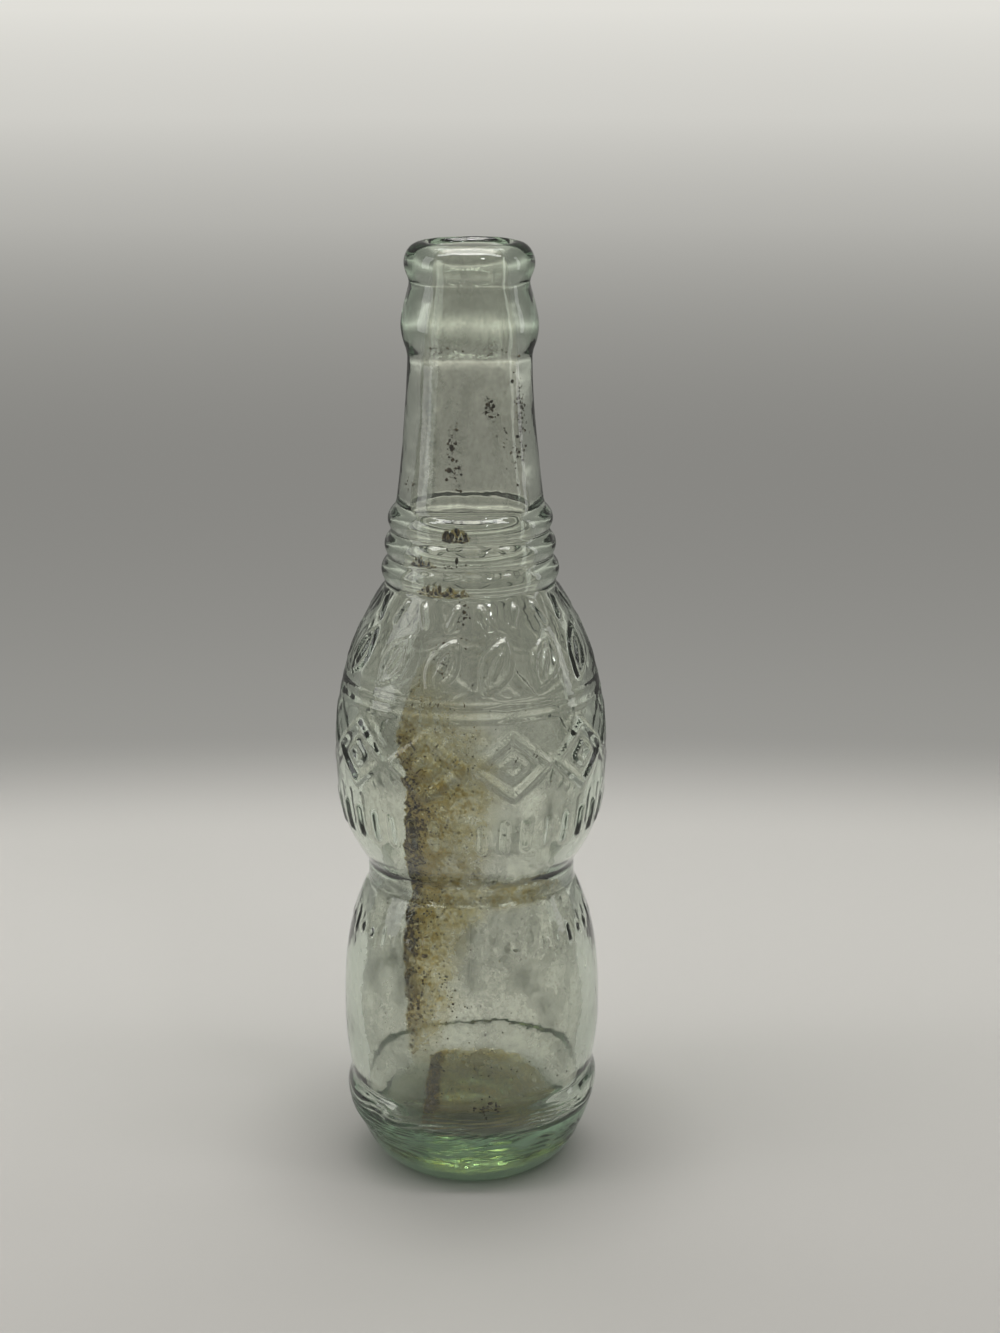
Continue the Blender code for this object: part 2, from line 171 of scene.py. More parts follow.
bottleShape = {
    "heelHeight": 8.9, "baseBandHeight": 11.4, "lowerBulgeHeight": 42.6, "waistHeight": 5.8,
    "upperBulgeHeight": 59.2, "ringPitch": 5.25, "ringCount": 3, "neckHeight": 31.8,
    "collarHeight": 13.6, "lipHeight": 7.8,
    "baseBandWidest": 7.9, "lowerBulgeWidest": 14.7, "upperBulgeWidest": 21.8,
    "collarWidest": 5.1, "lipWidest": 3.4,
    "bearingInner": 15.6, "bearingOuter": 17.9, "heelRadius": 24.2, "baseBandRadius": 26.9,
    "lowerWallRadius": 25.8, "lowerBulgeRadius": 27.3, "waistRadius": 21.8, "upperBulgeRadius": 28.3,
    "shoulderRadius": 17.3, "neckFootRadius": 15.2, "neckTopRadius": 12.6, "collarRadius": 13.95,
    "recessRadius": 12.0, "lipRadius": 13.3, "landOuter": 9.8, "landInner": 9.0,
    "ringProud": 1.45, "bandStep": 0.45, "heelStep": 0.35, "waistStep": 0.4, "waistCrease": 0.35,
    "collarStep": 0.25, "heelBow": 1.0, "kickDepth": 1.8, "kickRim": 1.2,
    "wall": 3.7, "waistWall": 4.7, "neckWall": 3.0, "collarWall": 4.9, "baseWall": 3.6,
    "boreRadius": 7.8, "mouthRound": 1.9, "floorHeight": 12.5, "floorFlat": 19.6, "floorCorner": 2.8,
}
fullness = {  # 2 is a parabola, and more is squarer
    "upperTop": 2.4, "upperFoot": 2.65, "lowerTop": 2.6, "lowerFoot": 2.2, "baseBand": 1.7,
    "collarTop": 1.35, "collarFoot": 1.9, "lip": 1.5, "neckFlare": 1.6,
}
shape = bottleShape
shape["ringsHeight"] = shape["ringCount"] * shape["ringPitch"]
zones = ("heel", "baseBand", "lowerBulge", "waist", "upperBulge", "rings", "neck", "collar", "lip")
heelTop, bandTop, waistFoot, waistTop, shoulder, neckFoot, neckTop, recess, top = itertools.accumulate(
    shape[zone + "Height"] for zone in zones)
lowerWidest = bandTop + shape["lowerBulgeWidest"]
upperWidest = waistTop + shape["upperBulgeWidest"]
upperWide, lowerWide = (shape["upperBulgeRadius"], upperWidest), (shape["lowerBulgeRadius"], lowerWidest)
waistEdge = shape["waistRadius"] + shape["waistStep"]
swells = {  # radius and height of a bulge's widest place and of its end
    "upperTop": (upperWide, (shape["shoulderRadius"], shoulder)),
    "upperFoot": (upperWide, (waistEdge, waistTop)),
    "lowerTop": (lowerWide, (waistEdge, waistFoot)),
    "lowerFoot": (lowerWide, (shape["lowerWallRadius"], bandTop)),
}


def between(low, high, share):
    return low + (high - low) * share


def fade(x, low, high):
    t = min(max((x - low) / (high - low), 0.0), 1.0)
    return t * t * (3 - 2 * t)


def swell(wide, end, power, steps=24):
    # from just after a swelling's widest place to its end
    shares = [i / steps for i in range(1, steps + 1)]
    return [(between(wide[0], end[0], s**power), between(wide[1], end[1], s)) for s in shares]


def bow(start, end, proud, steps=16):
    # an arc that stands proud of the straight line from start to end
    dr, dz = end[0] - start[0], end[1] - start[1]
    chord = math.hypot(dr, dz)
    radius = (chord * chord / 4 + proud * proud) / (2 * proud)
    half = math.asin(min(1.0, chord / 2 / radius))
    points = []
    for i in range(1, steps + 1):
        angle = between(-half, half, i / steps)
        along = 0.5 + math.sin(angle) / (2 * math.sin(half))
        lift = radius * (math.cos(angle) - math.cos(half)) / chord
        points.append((start[0] + dr * along - dz * lift, start[1] + dz * along + dr * lift))
    return points


def quarter(level, upright, steps=14):
    # a quarter ellipse that starts level and ends upright
    angles = [math.pi / 2 * i / steps for i in range(1, steps + 1)]
    return [(between(level[0], upright[0], math.sin(a)), between(upright[1], level[1], math.cos(a)))
            for a in angles]


def outerSide():
    # from the land on the lip down to the middle of the kick
    lip = (shape["lipRadius"], recess + shape["lipWidest"])
    points = [(shape["landInner"], top), (shape["landOuter"], top)]
    points += quarter(points[-1], lip)
    points += swell(lip, (shape["recessRadius"], recess), fullness["lip"])
    collar = (shape["collarRadius"], neckTop + shape["collarWidest"])
    points += swell(collar, (shape["recessRadius"], recess), fullness["collarTop"])[-2::-1] + [collar]
    points += swell(collar, (shape["neckTopRadius"] + shape["collarStep"], neckTop), fullness["collarFoot"])
    for share in (i / 24 for i in range(24)):
        radius = between(shape["neckTopRadius"], shape["neckFootRadius"], share ** fullness["neckFlare"])
        points.append((radius, between(neckTop - shape["collarStep"], neckFoot, share)))
    count = shape["ringCount"]
    grooves = [(between(shape["neckFootRadius"], shape["shoulderRadius"], i / count),
                neckFoot - i * shape["ringPitch"]) for i in range(count + 1)]
    points.append(grooves[0])
    for above, below in zip(grooves, grooves[1:]):
        points += bow(above, below, shape["ringProud"])
    upperTop, upperFoot, lowerTop, lowerFoot = (swell(*ends, fullness[name]) for name, ends in swells.items())
    waist, crease = shape["waistRadius"], shape["waistCrease"]
    points += upperTop[-2::-1] + [upperWide] + upperFoot
    points += [(waist, waistTop - crease), (waist, waistFoot + crease)]
    points += lowerTop[::-1] + [lowerWide] + lowerFoot
    band = (shape["baseBandRadius"], heelTop + shape["baseBandWidest"])
    points += bow(points[-1], band, shape["bandStep"])
    heelEdge = (shape["heelRadius"] + shape["heelStep"], heelTop + shape["heelStep"])
    points += swell(band, heelEdge, fullness["baseBand"]) + [(shape["heelRadius"], heelTop)]
    points += bow(points[-1], (shape["bearingOuter"], 0), shape["heelBow"])
    inner = shape["bearingInner"]
    return points + [(inner, 0), (inner - shape["kickRim"], shape["kickRim"]), (0, shape["kickDepth"])]


def bulgeRadius(z):
    # the outside of the two bulges, without the ornament
    if waistFoot <= z < waistTop:
        return shape["waistRadius"]
    upper = "upperTop" if z >= upperWidest else "upperFoot"
    name = upper if z >= waistTop else "lowerTop" if z >= lowerWidest else "lowerFoot"
    (wide, near), (end, far) = swells[name]
    return between(wide, end, min(1.0, (z - near) / (far - near)) ** fullness[name])


def innerStations():
    # (height, radius) that the hollow's wall passes, from the floor's corner up to the bore
    def behind(start, end, *shares):
        return [(z, bulgeRadius(z) - shape["wall"]) for z in (between(start, end, share) for share in shares)]

    middle = between(shape["neckTopRadius"], shape["neckFootRadius"], 0.5 ** fullness["neckFlare"])
    return [
        (shape["floorHeight"] + shape["floorCorner"], shape["lowerWallRadius"] - shape["baseWall"]),
        *behind(lowerWidest, waistFoot, 0.0, 0.6, 0.88),
        (between(waistFoot, waistTop, 0.5), shape["waistRadius"] - shape["waistWall"]),
        *behind(upperWidest, waistTop, 0.88, 0.6),
        *behind(upperWidest, shoulder, 0.0, 0.4, 0.7, 0.9),
        (shoulder, shape["shoulderRadius"] - shape["neckWall"]),
        (neckFoot, shape["neckFootRadius"] - shape["neckWall"]),
        (between(neckTop, neckFoot, 0.5), middle - shape["neckWall"]),
        (neckTop + shape["collarWidest"], shape["collarRadius"] - shape["collarWall"]),
        (recess, shape["boreRadius"]),
        (top - shape["mouthRound"], shape["boreRadius"]),
    ]


def innerSide():
    # from the middle of the floor inside up to the land on the lip
    stations = innerStations()
    rises = [(b[1] - a[1]) / (b[0] - a[0]) for a, b in zip(stations, stations[1:])]
    slopes = [0.0]
    slopes += [0.0 if a * b <= 0 else 2 * a * b / (a + b) for a, b in zip(rises, rises[1:])] + [rises[-1]]
    points = [(0, shape["floorHeight"]), (shape["floorFlat"], shape["floorHeight"])]
    points += quarter(points[-1], stations[0][::-1])
    for i, (low, high) in enumerate(zip(stations, stations[1:])):
        span = high[0] - low[0]
        for t in (j / 12 for j in range(1, 13)):
            ease = t * t * (3 - 2 * t)
            bend = t * (1 - t) * ((1 - t) * slopes[i] - t * slopes[i + 1]) * span
            points.append((between(low[1], high[1], ease) + bend, low[0] + t * span))
    return points + quarter((shape["landInner"], top), points[-1])[::-1][1:]


# Rows of the glass mesh: where they lie, how close they are, and how many columns they keep

rowRules = {  # zone: (lowest z, highest z, pitch, column step)
    "lipAndCollar": (175.4, 196.85, 0.66, 2),
    "neck": (144.6, 175.4, 1.4, 2),
    "rings": (128.6, 144.6, 0.55, 2),
    "upperRelief": (70.2, 128.6, 0.57, 1),
    "waist": (59.0, 70.2, 0.46, 2),
    "lowerRelief": (44.0, 59.0, 0.57, 1),
    "lowerBulge": (21.0, 44.0, 1.2, 2),
    "baseBand": (8.5, 21.0, 0.28, 2),
    "heel": (0.0, 8.5, 0.6, 2),
}
underPitch = 1.6  # inside the kick
innerRules = {"floorPitch": 1.6, "cornerPitch": 0.7, "wallPitch": 1.9, "mouthPitch": 0.6}
rounding = {"step": 0.1, "walk": 0.02, "outerBlur": 0.7, "innerBlur": 0.6}


def respaced(points, pitchAt):
    # walks along a line and drops a point each time the local pitch is used up
    out = [points[0]]
    used = 0.0
    for a, b in zip(points, points[1:]):
        length = math.dist(a, b)
        pieces = max(1, math.ceil(length / rounding["walk"]))
        for i in range(1, pieces + 1):
            here = (between(a[0], b[0], i / pieces), between(a[1], b[1], i / pieces))
            used += length / pieces / pitchAt(here)
            if used >= 1:
                out.append(here)
                used -= 1
    if used < 0.5 and len(out) > 1:
        out.pop()
    return out + [points[-1]]


def softened(points, blur):
    # rounds the creases as fire polishing does, with both ends kept
    step = rounding["step"]
    fine = respaced(points, lambda here: step)
    reach = math.ceil(2.5 * blur / step)
    weights = [math.exp(-0.5 * (i * step / blur) ** 2) for i in range(-reach, reach + 1)]
    out = []
    for i in range(len(fine)):
        room = min(reach, i, len(fine) - 1 - i)
        near = range(-room, room + 1)
        total = sum(weights[j + reach] for j in near)
        out.append(tuple(sum(fine[i + j][k] * weights[j + reach] for j in near) / total for k in (0, 1)))
    return out


def zoneOf(z):
    for name, (low, high, pitch, step) in rowRules.items():
        if low <= z <= high:
            return pitch, step
    return rowRules["heel"][2:]


def outerPitch(here):
    radius, z = here
    underneath = radius < shape["bearingInner"] - 2 and z < 3
    return underPitch if underneath else zoneOf(z)[0]


def innerPitch(here):
    radius, z = here
    if z < shape["floorHeight"] + 0.2:
        return innerRules["floorPitch"]
    if z < shape["floorHeight"] + shape["floorCorner"] + 2:
        return innerRules["cornerPitch"]
    return innerRules["mouthPitch"] if z > recess else innerRules["wallPitch"]


def makeProfile():
    # one line of rows for the lathe, with what each row is told: inside or outside, ripples, columns
    inside = respaced(softened(innerSide(), rounding["innerBlur"]), innerPitch)[:-1]
    rows = inside + respaced(softened(outerSide(), rounding["outerBlur"]), outerPitch)
    marks = {"innerWall": [], "ripple": [], "columnStep": []}
    for i, (radius, z) in enumerate(rows):
        outer = i >= len(inside)
        inBand = outer and radius > shape["heelRadius"] - 1.5
        rippled = fade(z, heelTop - 3, heelTop + 1) * (1 - fade(z, bandTop - 3, bandTop - 0.5)) * inBand
        marks["innerWall"].append(0.0 if outer else 1.0)
        marks["ripple"].append(rippled)
        marks["columnStep"].append(float(zoneOf(z)[1]) if outer else 2.0)
    edges = [(i, i + 1) for i in range(len(rows) - 1)]
    mesh = newMesh("profile", [(r * mm, 0, z * mm) for r, z in rows], edges, **marks)
    return linked("profile", mesh), len(rows)


# Raised ornament: lines drawn in mm about a figure's middle, then wrapped round the bulges

def drawLine(fig):
    return [[(0, -fig["tall"] / 2), (0, fig["tall"] / 2)]]


def drawLozenge(fig):
    w, h = fig["wide"] / 2, fig["tall"] / 2
    corners = [(w, 0), (0, h), (-w, 0), (0, -h), (w, 0)]
    return [[(between(a[0], b[0], i / 8), between(a[1], b[1], i / 8)) for i in range(9)]
            for a, b in zip(corners, corners[1:])]


def drawLeaf(fig):
    # a slender leaf, pointed at both ends, with its midrib
    outline = [(side * fig["wide"] / 2 * math.sin(math.pi * i / 16), side * (i / 16 - 0.5) * fig["tall"])
               for side in (1, -1) for i in range(16)]
    return [outline + outline[:1], [(0, -0.28 * fig["tall"]), (0, 0.24 * fig["tall"])]]


def drawBelt(fig):
    # a plain line all the way round
    half = math.pi * fig["round"]
    return [[(between(-half, half, i / 180), 0) for i in range(181)]]


ornament = {  # relief: half the width, the slope at its side and how proud it stands
    "shoulderRays": {"draw": drawLine, "count": 20, "height": 124.2, "tall": 3.6, "lean": 24.0, "swap": True,
                     "relief": (0.8, 0.6, 0.5)},
    "leaves": {"draw": drawLeaf, "count": 14, "height": 115.3, "wide": 5.0, "tall": 10.2, "lean": 28.0,
               "relief": (0.8, 0.6, 0.48)},
    "upperBelt": {"draw": drawBelt, "count": 1, "height": 108.0, "relief": (0.6, 0.4, 0.22)},
    "middleBelt": {"draw": drawBelt, "count": 1, "height": 105.4, "relief": (0.6, 0.4, 0.22)},
    "lozenges": {"draw": drawLozenge, "count": 10, "height": 95.4, "wide": 15.6, "tall": 12.6,
                 "relief": (0.95, 0.6, 0.58)},
    "lozengeHearts": {"draw": drawLozenge, "count": 10, "height": 95.4, "wide": 5.0, "tall": 4.0,
                      "relief": (0.9, 0.7, 0.4)},
    "bars": {"draw": drawLine, "count": 36, "height": 80.6, "tall": 5.2, "relief": (0.95, 0.6, 0.58)},
    "pellets": {"draw": drawLine, "count": 42, "height": 55.4, "tall": 3.4, "every": 3, "short": 0.3,
                "relief": (0.7, 0.5, 0.4)},
}


def makeStrokes(name, fig):
    # the figure repeated round the glass, as loose edges on its surface
    vertices, edges = [], []
    centreRadius = bulgeRadius(fig["height"])
    fig.setdefault("round", centreRadius)
    for i in range(fig["count"]):
        azimuth = math.tau * (i + 0.5) / fig["count"]
        lean = math.radians(fig.get("lean", 0.0)) * (-1 if fig.get("swap") and i % 2 == 0 else 1)
        shrink = fig["short"] if "every" in fig and i % fig["every"] else 1.0
        for line in fig["draw"](fig):
            first = len(vertices)
            for across, up in line:
                x = across * math.cos(lean) + up * math.sin(lean)
                z = fig["height"] + (up * math.cos(lean) - across * math.sin(lean)) * shrink
                angle, radius = azimuth + x / centreRadius, bulgeRadius(z)
                vertices.append((radius * math.sin(angle) * mm, -radius * math.cos(angle) * mm, z * mm))
            edges += [(j, j + 1) for j in range(first, len(vertices) - 1)]
    return linked(name, newMesh(name, vertices, edges))


# Geometry trees

def newTree(name, inputs):
    # a geometry tree with named inputs and one geometry out
    tree = bpy.data.node_groups.new(name, "GeometryNodeTree")
    tree.interface.new_socket("Geometry", in_out="OUTPUT", socket_type="NodeSocketGeometry")
    for label, kind in inputs.items():
        tree.interface.new_socket(label, in_out="INPUT", socket_type="NodeSocket" + kind)
    return tree, tree.nodes.new("NodeGroupInput").outputs, tree.nodes.new("NodeGroupOutput").inputs[0]


def named(tree, label, kind="FLOAT"):
    return flow(tree, "GeometryNodeInputNamedAttribute", {"Name": label}, data_type=kind)


def stored(geometry, label, value):
    inputs = {"Geometry": geometry, "Name": label, "Value": value}
    return flow(geometry.id_data, "GeometryNodeStoreNamedAttribute", inputs)


def moved(geometry, **places):
    # to a Position or by an Offset
    return flow(geometry.id_data, "GeometryNodeSetPosition", {"Geometry": geometry, **places})


def meshOf(tree, guide):
    return addNode(tree, "GeometryNodeObjectInfo", {"Object": guide}).outputs["Geometry"]


def coated(geometry, material):
    inputs = {"Geometry": geometry, "Material": material}
    return flow(geometry.id_data, "GeometryNodeSetMaterial", inputs)


def grown(name, tree, values):
    # a plain mesh object of what a tree makes, with its inputs set by their identifiers
    carrier = linked(name + "Carrier", bpy.data.meshes.new(name + "Carrier"))
    modifier = carrier.modifiers.new(tree.name, "NODES")
    modifier.node_group = tree
    for item in tree.interface.items_tree:
        if item.in_out == "INPUT" and item.name in values:
            modifier[item.identifier] = values[item.name]
    graph = bpy.context.evaluated_depsgraph_get()
    made = carrier.evaluated_get(graph)
    mesh = bpy.data.meshes.new_from_object(made, preserve_all_data_layers=True, depsgraph=graph)
    mesh.name = name
    bpy.data.objects.remove(carrier)
    return linked(name, mesh)


def keepPiece(piece, node=None):
    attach(piece, "root")
    if node:
        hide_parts(node)


# Glass surface: the lathe, the ornament, and the waves that hot glass keeps

glassSurface = {
    "Columns": 320,
    "Band Tilt": 2.0,  # degrees that the base band's mould sat askew
    "Ripple": 0.55,  # cold-flow lines on the base band, mm
    "Fold Pitch": 2.1,
    "Outer Waves": 0.14,
    "Inner Waves": 0.34,
    "Seam Relief": 0.3,  # what is left of the ornament's height at the two mould seams, at the sides
}
heights = {  # mm where a share sets in and is full, and the share before and after
    "clear": (1.5, 6.0, 0.0, 1.0),  # the bearing ring stays flat
    "pulled": (142.0, 152.0, 1.0, 1.8),  # the neck is drawn out, and wavier
    "calm": (26.0, 74.0, 0.1, 1.0),  # the hollow's foot is smoother
    "tiltFoot": (9.0, 14.0, 0.0, 1.0),
    "tiltTop": (34.0, 22.0, 0.0, 1.0),
}
glassNoise = {  # waves per metre, octaves, and how each noise is stretched and shifted
    "outer": {"scale": 70}, "inner": {"scale": 52, "detail": 1.5, "shift": 3.1},
    "drift": {"scale": 42, "stretch": (1, 1, 3), "shift": 7.7},
    "gaps": {"scale": 70, "detail": 1, "stretch": (1, 1, 4), "shift": 1.9},
}
seam = (0.08, 0.6)  # how far from it, as a share of the radius, the ornament starts to rise and is full
folds = {
    "drift": 34, "sharpness": 0.6, "level": 0.8,
    "broken": (0.28, 0.52),  # where the noise lets a fold show
    "front": (2.0, -18.0, 0.2, 1.0),  # mm from the axis, and the share at the back and in front
}


def raisingTree():
    # lifts the surface near a set of lines, by an attribute that keeps the highest
    tree, given, out = newTree("raisedLines", {
        "Geometry": "Geometry", "Lines": "Object", "Half Width": "Float", "Slope": "Float", "Proud": "Float"})
    lines = meshOf(tree, given["Lines"])
    away = addNode(tree, "GeometryNodeProximity", {0: lines}, target_element="EDGES").outputs["Distance"]
    flat = calc("SUBTRACT", given["Half Width"], given["Slope"])
    lift = times(remap(away, given["Half Width"], flat), given["Proud"])
    plug(out, stored(given["Geometry"], "raised", calc("MAXIMUM", lift, named(tree, "raised"))))
    return tree


def lathe(tree, given):
    # a grid with a column for each step round and a row for each point of the profile, turned about the axis
    size = {"Vertices X": calc("ADD", given["Columns"], 1), "Vertices Y": given["Rows"]}
    flat = split(flow(tree, "GeometryNodeInputPosition"))
    column, row = (calc("ROUND", times(calc("ADD", side, 0.5), count)) for side, count in (
        (flat["X"], given["Columns"]), (flat["Y"], calc("SUBTRACT", given["Rows"], 1))))
    profile = meshOf(tree, given["Profile"])

    def ofRow(value, kind="FLOAT"):
        inputs = {"Geometry": profile, "Value": value, "Index": row}
        return flow(tree, "GeometryNodeSampleIndex", inputs, data_type=kind)

    geometry = flow(tree, "GeometryNodeMeshGrid", size)
    for label in ("innerWall", "ripple"):
        geometry = stored(geometry, label, ofRow(named(tree, label)))
    step = ofRow(named(tree, "columnStep"))
    column = times(calc("FLOOR", calc("DIVIDE", column, step)), step)
    angle = calc("DIVIDE", times(column, math.tau), given["Columns"])
    spot = split(ofRow(flow(tree, "GeometryNodeInputPosition"), "FLOAT_VECTOR"))
    turned = joined(tree, X=times(spot["X"], calc("SINE", angle)),
                    Y=times(spot["X"], times(calc("COSINE", angle), -1)), Z=spot["Z"])
    merging = {"Geometry": moved(geometry, Position=turned), "Distance": 0.01 * mm}
    merged = flow(tree, "GeometryNodeMergeByDistance", merging)
    return flow(tree, "GeometryNodeFlipFaces", {"Mesh": merged})


def glassTree():
    kinds = {**dict.fromkeys(glassSurface, "Float"), **dict.fromkeys(ornament, "Object"),
             "Profile": "Object", "Rows": "Int", "Columns": "Int", "Glass": "Material"}
    tree, given, out = newTree("turnedGlass", kinds)
    geometry = stored(lathe(tree, given), "raised", 0.0)
    lifting = raisingTree()
    for name, fig in ornament.items():
        relief = zip(("Half Width", "Slope", "Proud"), (size * mm for size in fig["relief"]))
        inputs = {"Geometry": geometry, "Lines": given[name], **dict(relief)}
        geometry = flow(tree, "GeometryNodeGroup", inputs, node_tree=lifting)

    place = flow(tree, "GeometryNodeInputPosition")
    x, y, z = split(place)
    inner = named(tree, "innerWall")
    outer = calc("SUBTRACT", 1.0, inner)
    clear, pulled, calm, tiltFoot, tiltTop = (
        remap(z, low * mm, high * mm, before, after) for low, high, before, after in heights.values())

    def waves(name, size, share):
        centred = calc("SUBTRACT", noiseValue(place, **glassNoise[name]), 0.5)
        return times(times(centred, times(size, 2 * mm)), share)

    lift = calc("ADD", waves("outer", given["Outer Waves"], times(outer, pulled)),
                waves("inner", given["Inner Waves"], times(inner, calm)))
    # chilled glass folds into long level lines, broken here and there and fainter at the back
    drift = times(noiseValue(place, **glassNoise["drift"]), folds["drift"])
    turns = calc("DIVIDE", times(z, math.tau / mm), given["Fold Pitch"])
    wave = calc("ABSOLUTE", calc("SINE", calc("ADD", turns, drift)))
    fold = calc("SUBTRACT", calc("POWER", wave, folds["sharpness"]), folds["level"])
    low, high, back, front = folds["front"]
    broken = times(remap(noiseValue(place, **glassNoise["gaps"]), *folds["broken"]),
                   remap(y, low * mm, high * mm, back, front))
    fold = times(fold, broken, times(times(given["Ripple"], mm), named(tree, "ripple")))
    # a mould can't draw off deep figures at its seams, so they get shallower there
    fromAxis = lengthOf(calcVector("MULTIPLY", place, (1, 1, 0)))
    drawn = remap(calc("DIVIDE", calc("ABSOLUTE", y), fromAxis), *seam, given["Seam Relief"])
    lift = calc("ADD", times(calc("ADD", lift, fold), clear), times(named(tree, "raised"), drawn))
    normal = flow(tree, "GeometryNodeInputNormal")
    lifted = flow(tree, "ShaderNodeVectorMath", {0: normal, "Scale": lift}, operation="SCALE")
    geometry = moved(geometry, Offset=lifted)
    # the base band's upper edge runs askew, higher on the right
    tilt = times(times(tiltFoot, tiltTop), outer, calc("TANGENT", calc("RADIANS", given["Band Tilt"])))
    geometry = moved(geometry, Offset=joined(tree, Z=times(x, tilt)))
    smooth = flow(tree, "GeometryNodeSetShadeSmooth", {"Geometry": geometry})
    plug(out, coated(smooth, given["Glass"]))
    return tree


# Materials

def newMaterial(name, looks=()):
    # a material, its shader with plain looks set, and the object's own coordinates
    mat = bpy.data.materials.new(name)
    mat.use_nodes = True
    tree = mat.node_tree
    shader = tree.nodes["Principled BSDF"]
    for key, value in dict(looks).items():
        plug(shader.inputs[key], value)
    return mat, tree, shader, addNode(tree, "ShaderNodeTexCoord").outputs["Object"]


def told(tree, label):
    # what a vertex is told, by the mark's name
    return addNode(tree, "ShaderNodeAttribute", attribute_name=label).outputs["Fac"]


def ramped(value, stops, interpolation="LINEAR"):
    # the colour at a value along stops of (place, colour)
    node = addNode(value.id_data, "ShaderNodeValToRGB", {0: value})
    elements = node.color_ramp.elements
    for i, (place, colour) in enumerate(stops):
        stop = elements[i] if i < 2 else elements.new(place)
        stop.position, stop.color = place, (*colour, 1)
    node.color_ramp.interpolation = interpolation
    return node.outputs[0]


def bumped(height, depth, strength=1.0):
    # a surface that leans with a height, to a depth in mm
    inputs = {"Height": height, "Distance": depth * mm, "Strength": strength}
    return flow(height.id_data, "ShaderNodeBump", inputs)


def mixed(share, first, second):
    inputs = {0: share, 1: first.outputs[0], 2: second.outputs[0]}
    return flow(share.id_data, "ShaderNodeMixShader", inputs)


glassFinish = {
    "colour": (1.0, 0.985, 0.935),
    "ior": 1.5,
    "absorption": (0.36, 0.57, 0.41),  # what is left of white light; the rest is taken at the density
    "density": 50.0,  # per metre
    "lampPass": (0.73, 0.75, 0.725),  # how much of a lamp's light one wall lets straight through
    "clear": 0.982,  # the rest is the dull film of handling and dust
    "wear": (90, 5, 0.65), "worn": (0.52, 0.78),  # the noise of worn patches, and where it starts to wear
    "polish": 0.008, "dull": 0.16,  # roughness
    "finestWaves": (320, 1.5), "bump": 0.25, "bumpDepth": 0.2,  # mm
}


def glassMaterial():
    look = glassFinish
    mat, tree, shader, place = newMaterial("wavyClearGlass", {
        "Base Color": look["colour"], "IOR": look["ior"], "Transmission Weight": look["clear"]})
    # worn patches scatter a little, and the rest is fire-polished
    patches = remap(noiseValue(place, *look["wear"]), *look["worn"])
    plug(shader.inputs["Roughness"], remap(patches, 0, 1, look["polish"], look["dull"], "LINEAR"))
    finest = noiseValue(place, *look["finestWaves"])
    plug(shader.inputs["Normal"], bumped(finest, look["bumpDepth"], look["bump"]))
    output = tree.nodes["Material Output"].inputs
    absorbing = {"Color": look["absorption"], "Density": look["density"]}
    plug(output["Volume"], flow(tree, "ShaderNodeVolumeAbsorption", absorbing))
    letThrough = addNode(tree, "ShaderNodeBsdfTransparent", {"Color": look["lampPass"]})
    path = addNode(tree, "ShaderNodeLightPath").outputs
    plug(output["Surface"], mixed(path["Is Shadow Ray"], shader, letThrough))
    return mat


def makeGlass():
    profile, rows = makeProfile()
    guides = {"Profile": profile, **{name: makeStrokes(name, fig) for name, fig in ornament.items()}}
    values = {"Rows": rows, "Glass": glassMaterial(), **glassSurface, **guides}
    glass = grown("moulded_glass", glassTree(), values)
    for guide in guides.values():
        bpy.data.objects.remove(guide)
    keepPiece(glass, "glass_bottle")
    faces = glass.data.polygons
    print("glass:", rows, "rows,", len(faces), "faces,", sum(len(f.vertices) - 2 for f in faces), "triangles")
    return glass


glass = makeGlass()


# Residue: what a drink left inside, as thin films with grains dried on to them

def insideOf(glass):
    # finds places on the inner wall, by a ray from the axis, and on the floor, by a ray down
    tree = BVHTree.FromObject(glass, bpy.context.evaluated_depsgraph_get())

    def hit(start, way, inset):
        spot, facing = tree.ray_cast(start, Vector(way))[:2]
        return spot + facing * inset * mm, facing

    def onWall(azimuth, z, inset):
        angle = math.radians(azimuth)
        return hit(Vector((0, 0, z * mm)), (math.sin(angle), -math.cos(angle), 0), inset)

    def onFloor(x, y, inset):
        return hit(Vector((x, y, 40)) * mm, (0, 0, -1), inset)

    return onWall, onFloor


onWall, onFloor = insideOf(glass)


def areaOf(left, right, low, high):
    # finds a place in an area by its shares across and up
    return lambda u, v: (between(left, right, u), between(low, high, v))


filmDepth = (0.05, 0.09)  # how far the front and the back of a film stand off the glass, mm
grainDepth = 0.08


def makeFilm(name, grid, surface, spotAt, coverAt, material, node=None):
    # a closed thin shell over a grid of shares, with how thick and how dark the residue is
    rows, columns = grid
    shares = [(i / columns, j / rows) for j in range(rows + 1) for i in range(columns + 1)]
    vertices = [surface(*spotAt(u, v), inset)[0] for inset in filmDepth for u, v in shares]
    cover, crust = zip(*(coverAt(u, v) for u, v in shares))
    width, layer = columns + 1, len(shares)
    faces = []
    for a in (j * width + i for j in range(rows) for i in range(columns)):
        quad = (a, a + 1, a + 1 + width, a + width)
        faces += [quad, tuple(k + layer for k in quad[::-1])]
    rim = [*range(columns)] + [columns + j * width for j in range(rows)]
    rim += [rows * width + i for i in range(columns, 0, -1)] + [j * width for j in range(rows, 0, -1)]
    faces += [(b, a, a + layer, b + layer) for a, b in zip(rim, rim[1:] + rim[:1])]
    mesh = newMesh(name, vertices, faces=faces)
    bm = bmesh.new()
    bm.from_mesh(mesh)
    bmesh.ops.recalc_face_normals(bm, faces=bm.faces)
    bm.to_mesh(mesh)
    bm.free()
    mark(mesh, cover=cover * 2, crust=crust * 2)
    mesh.shade_smooth()
    mesh.materials.append(material)
    keepPiece(linked(name, mesh), node=node)


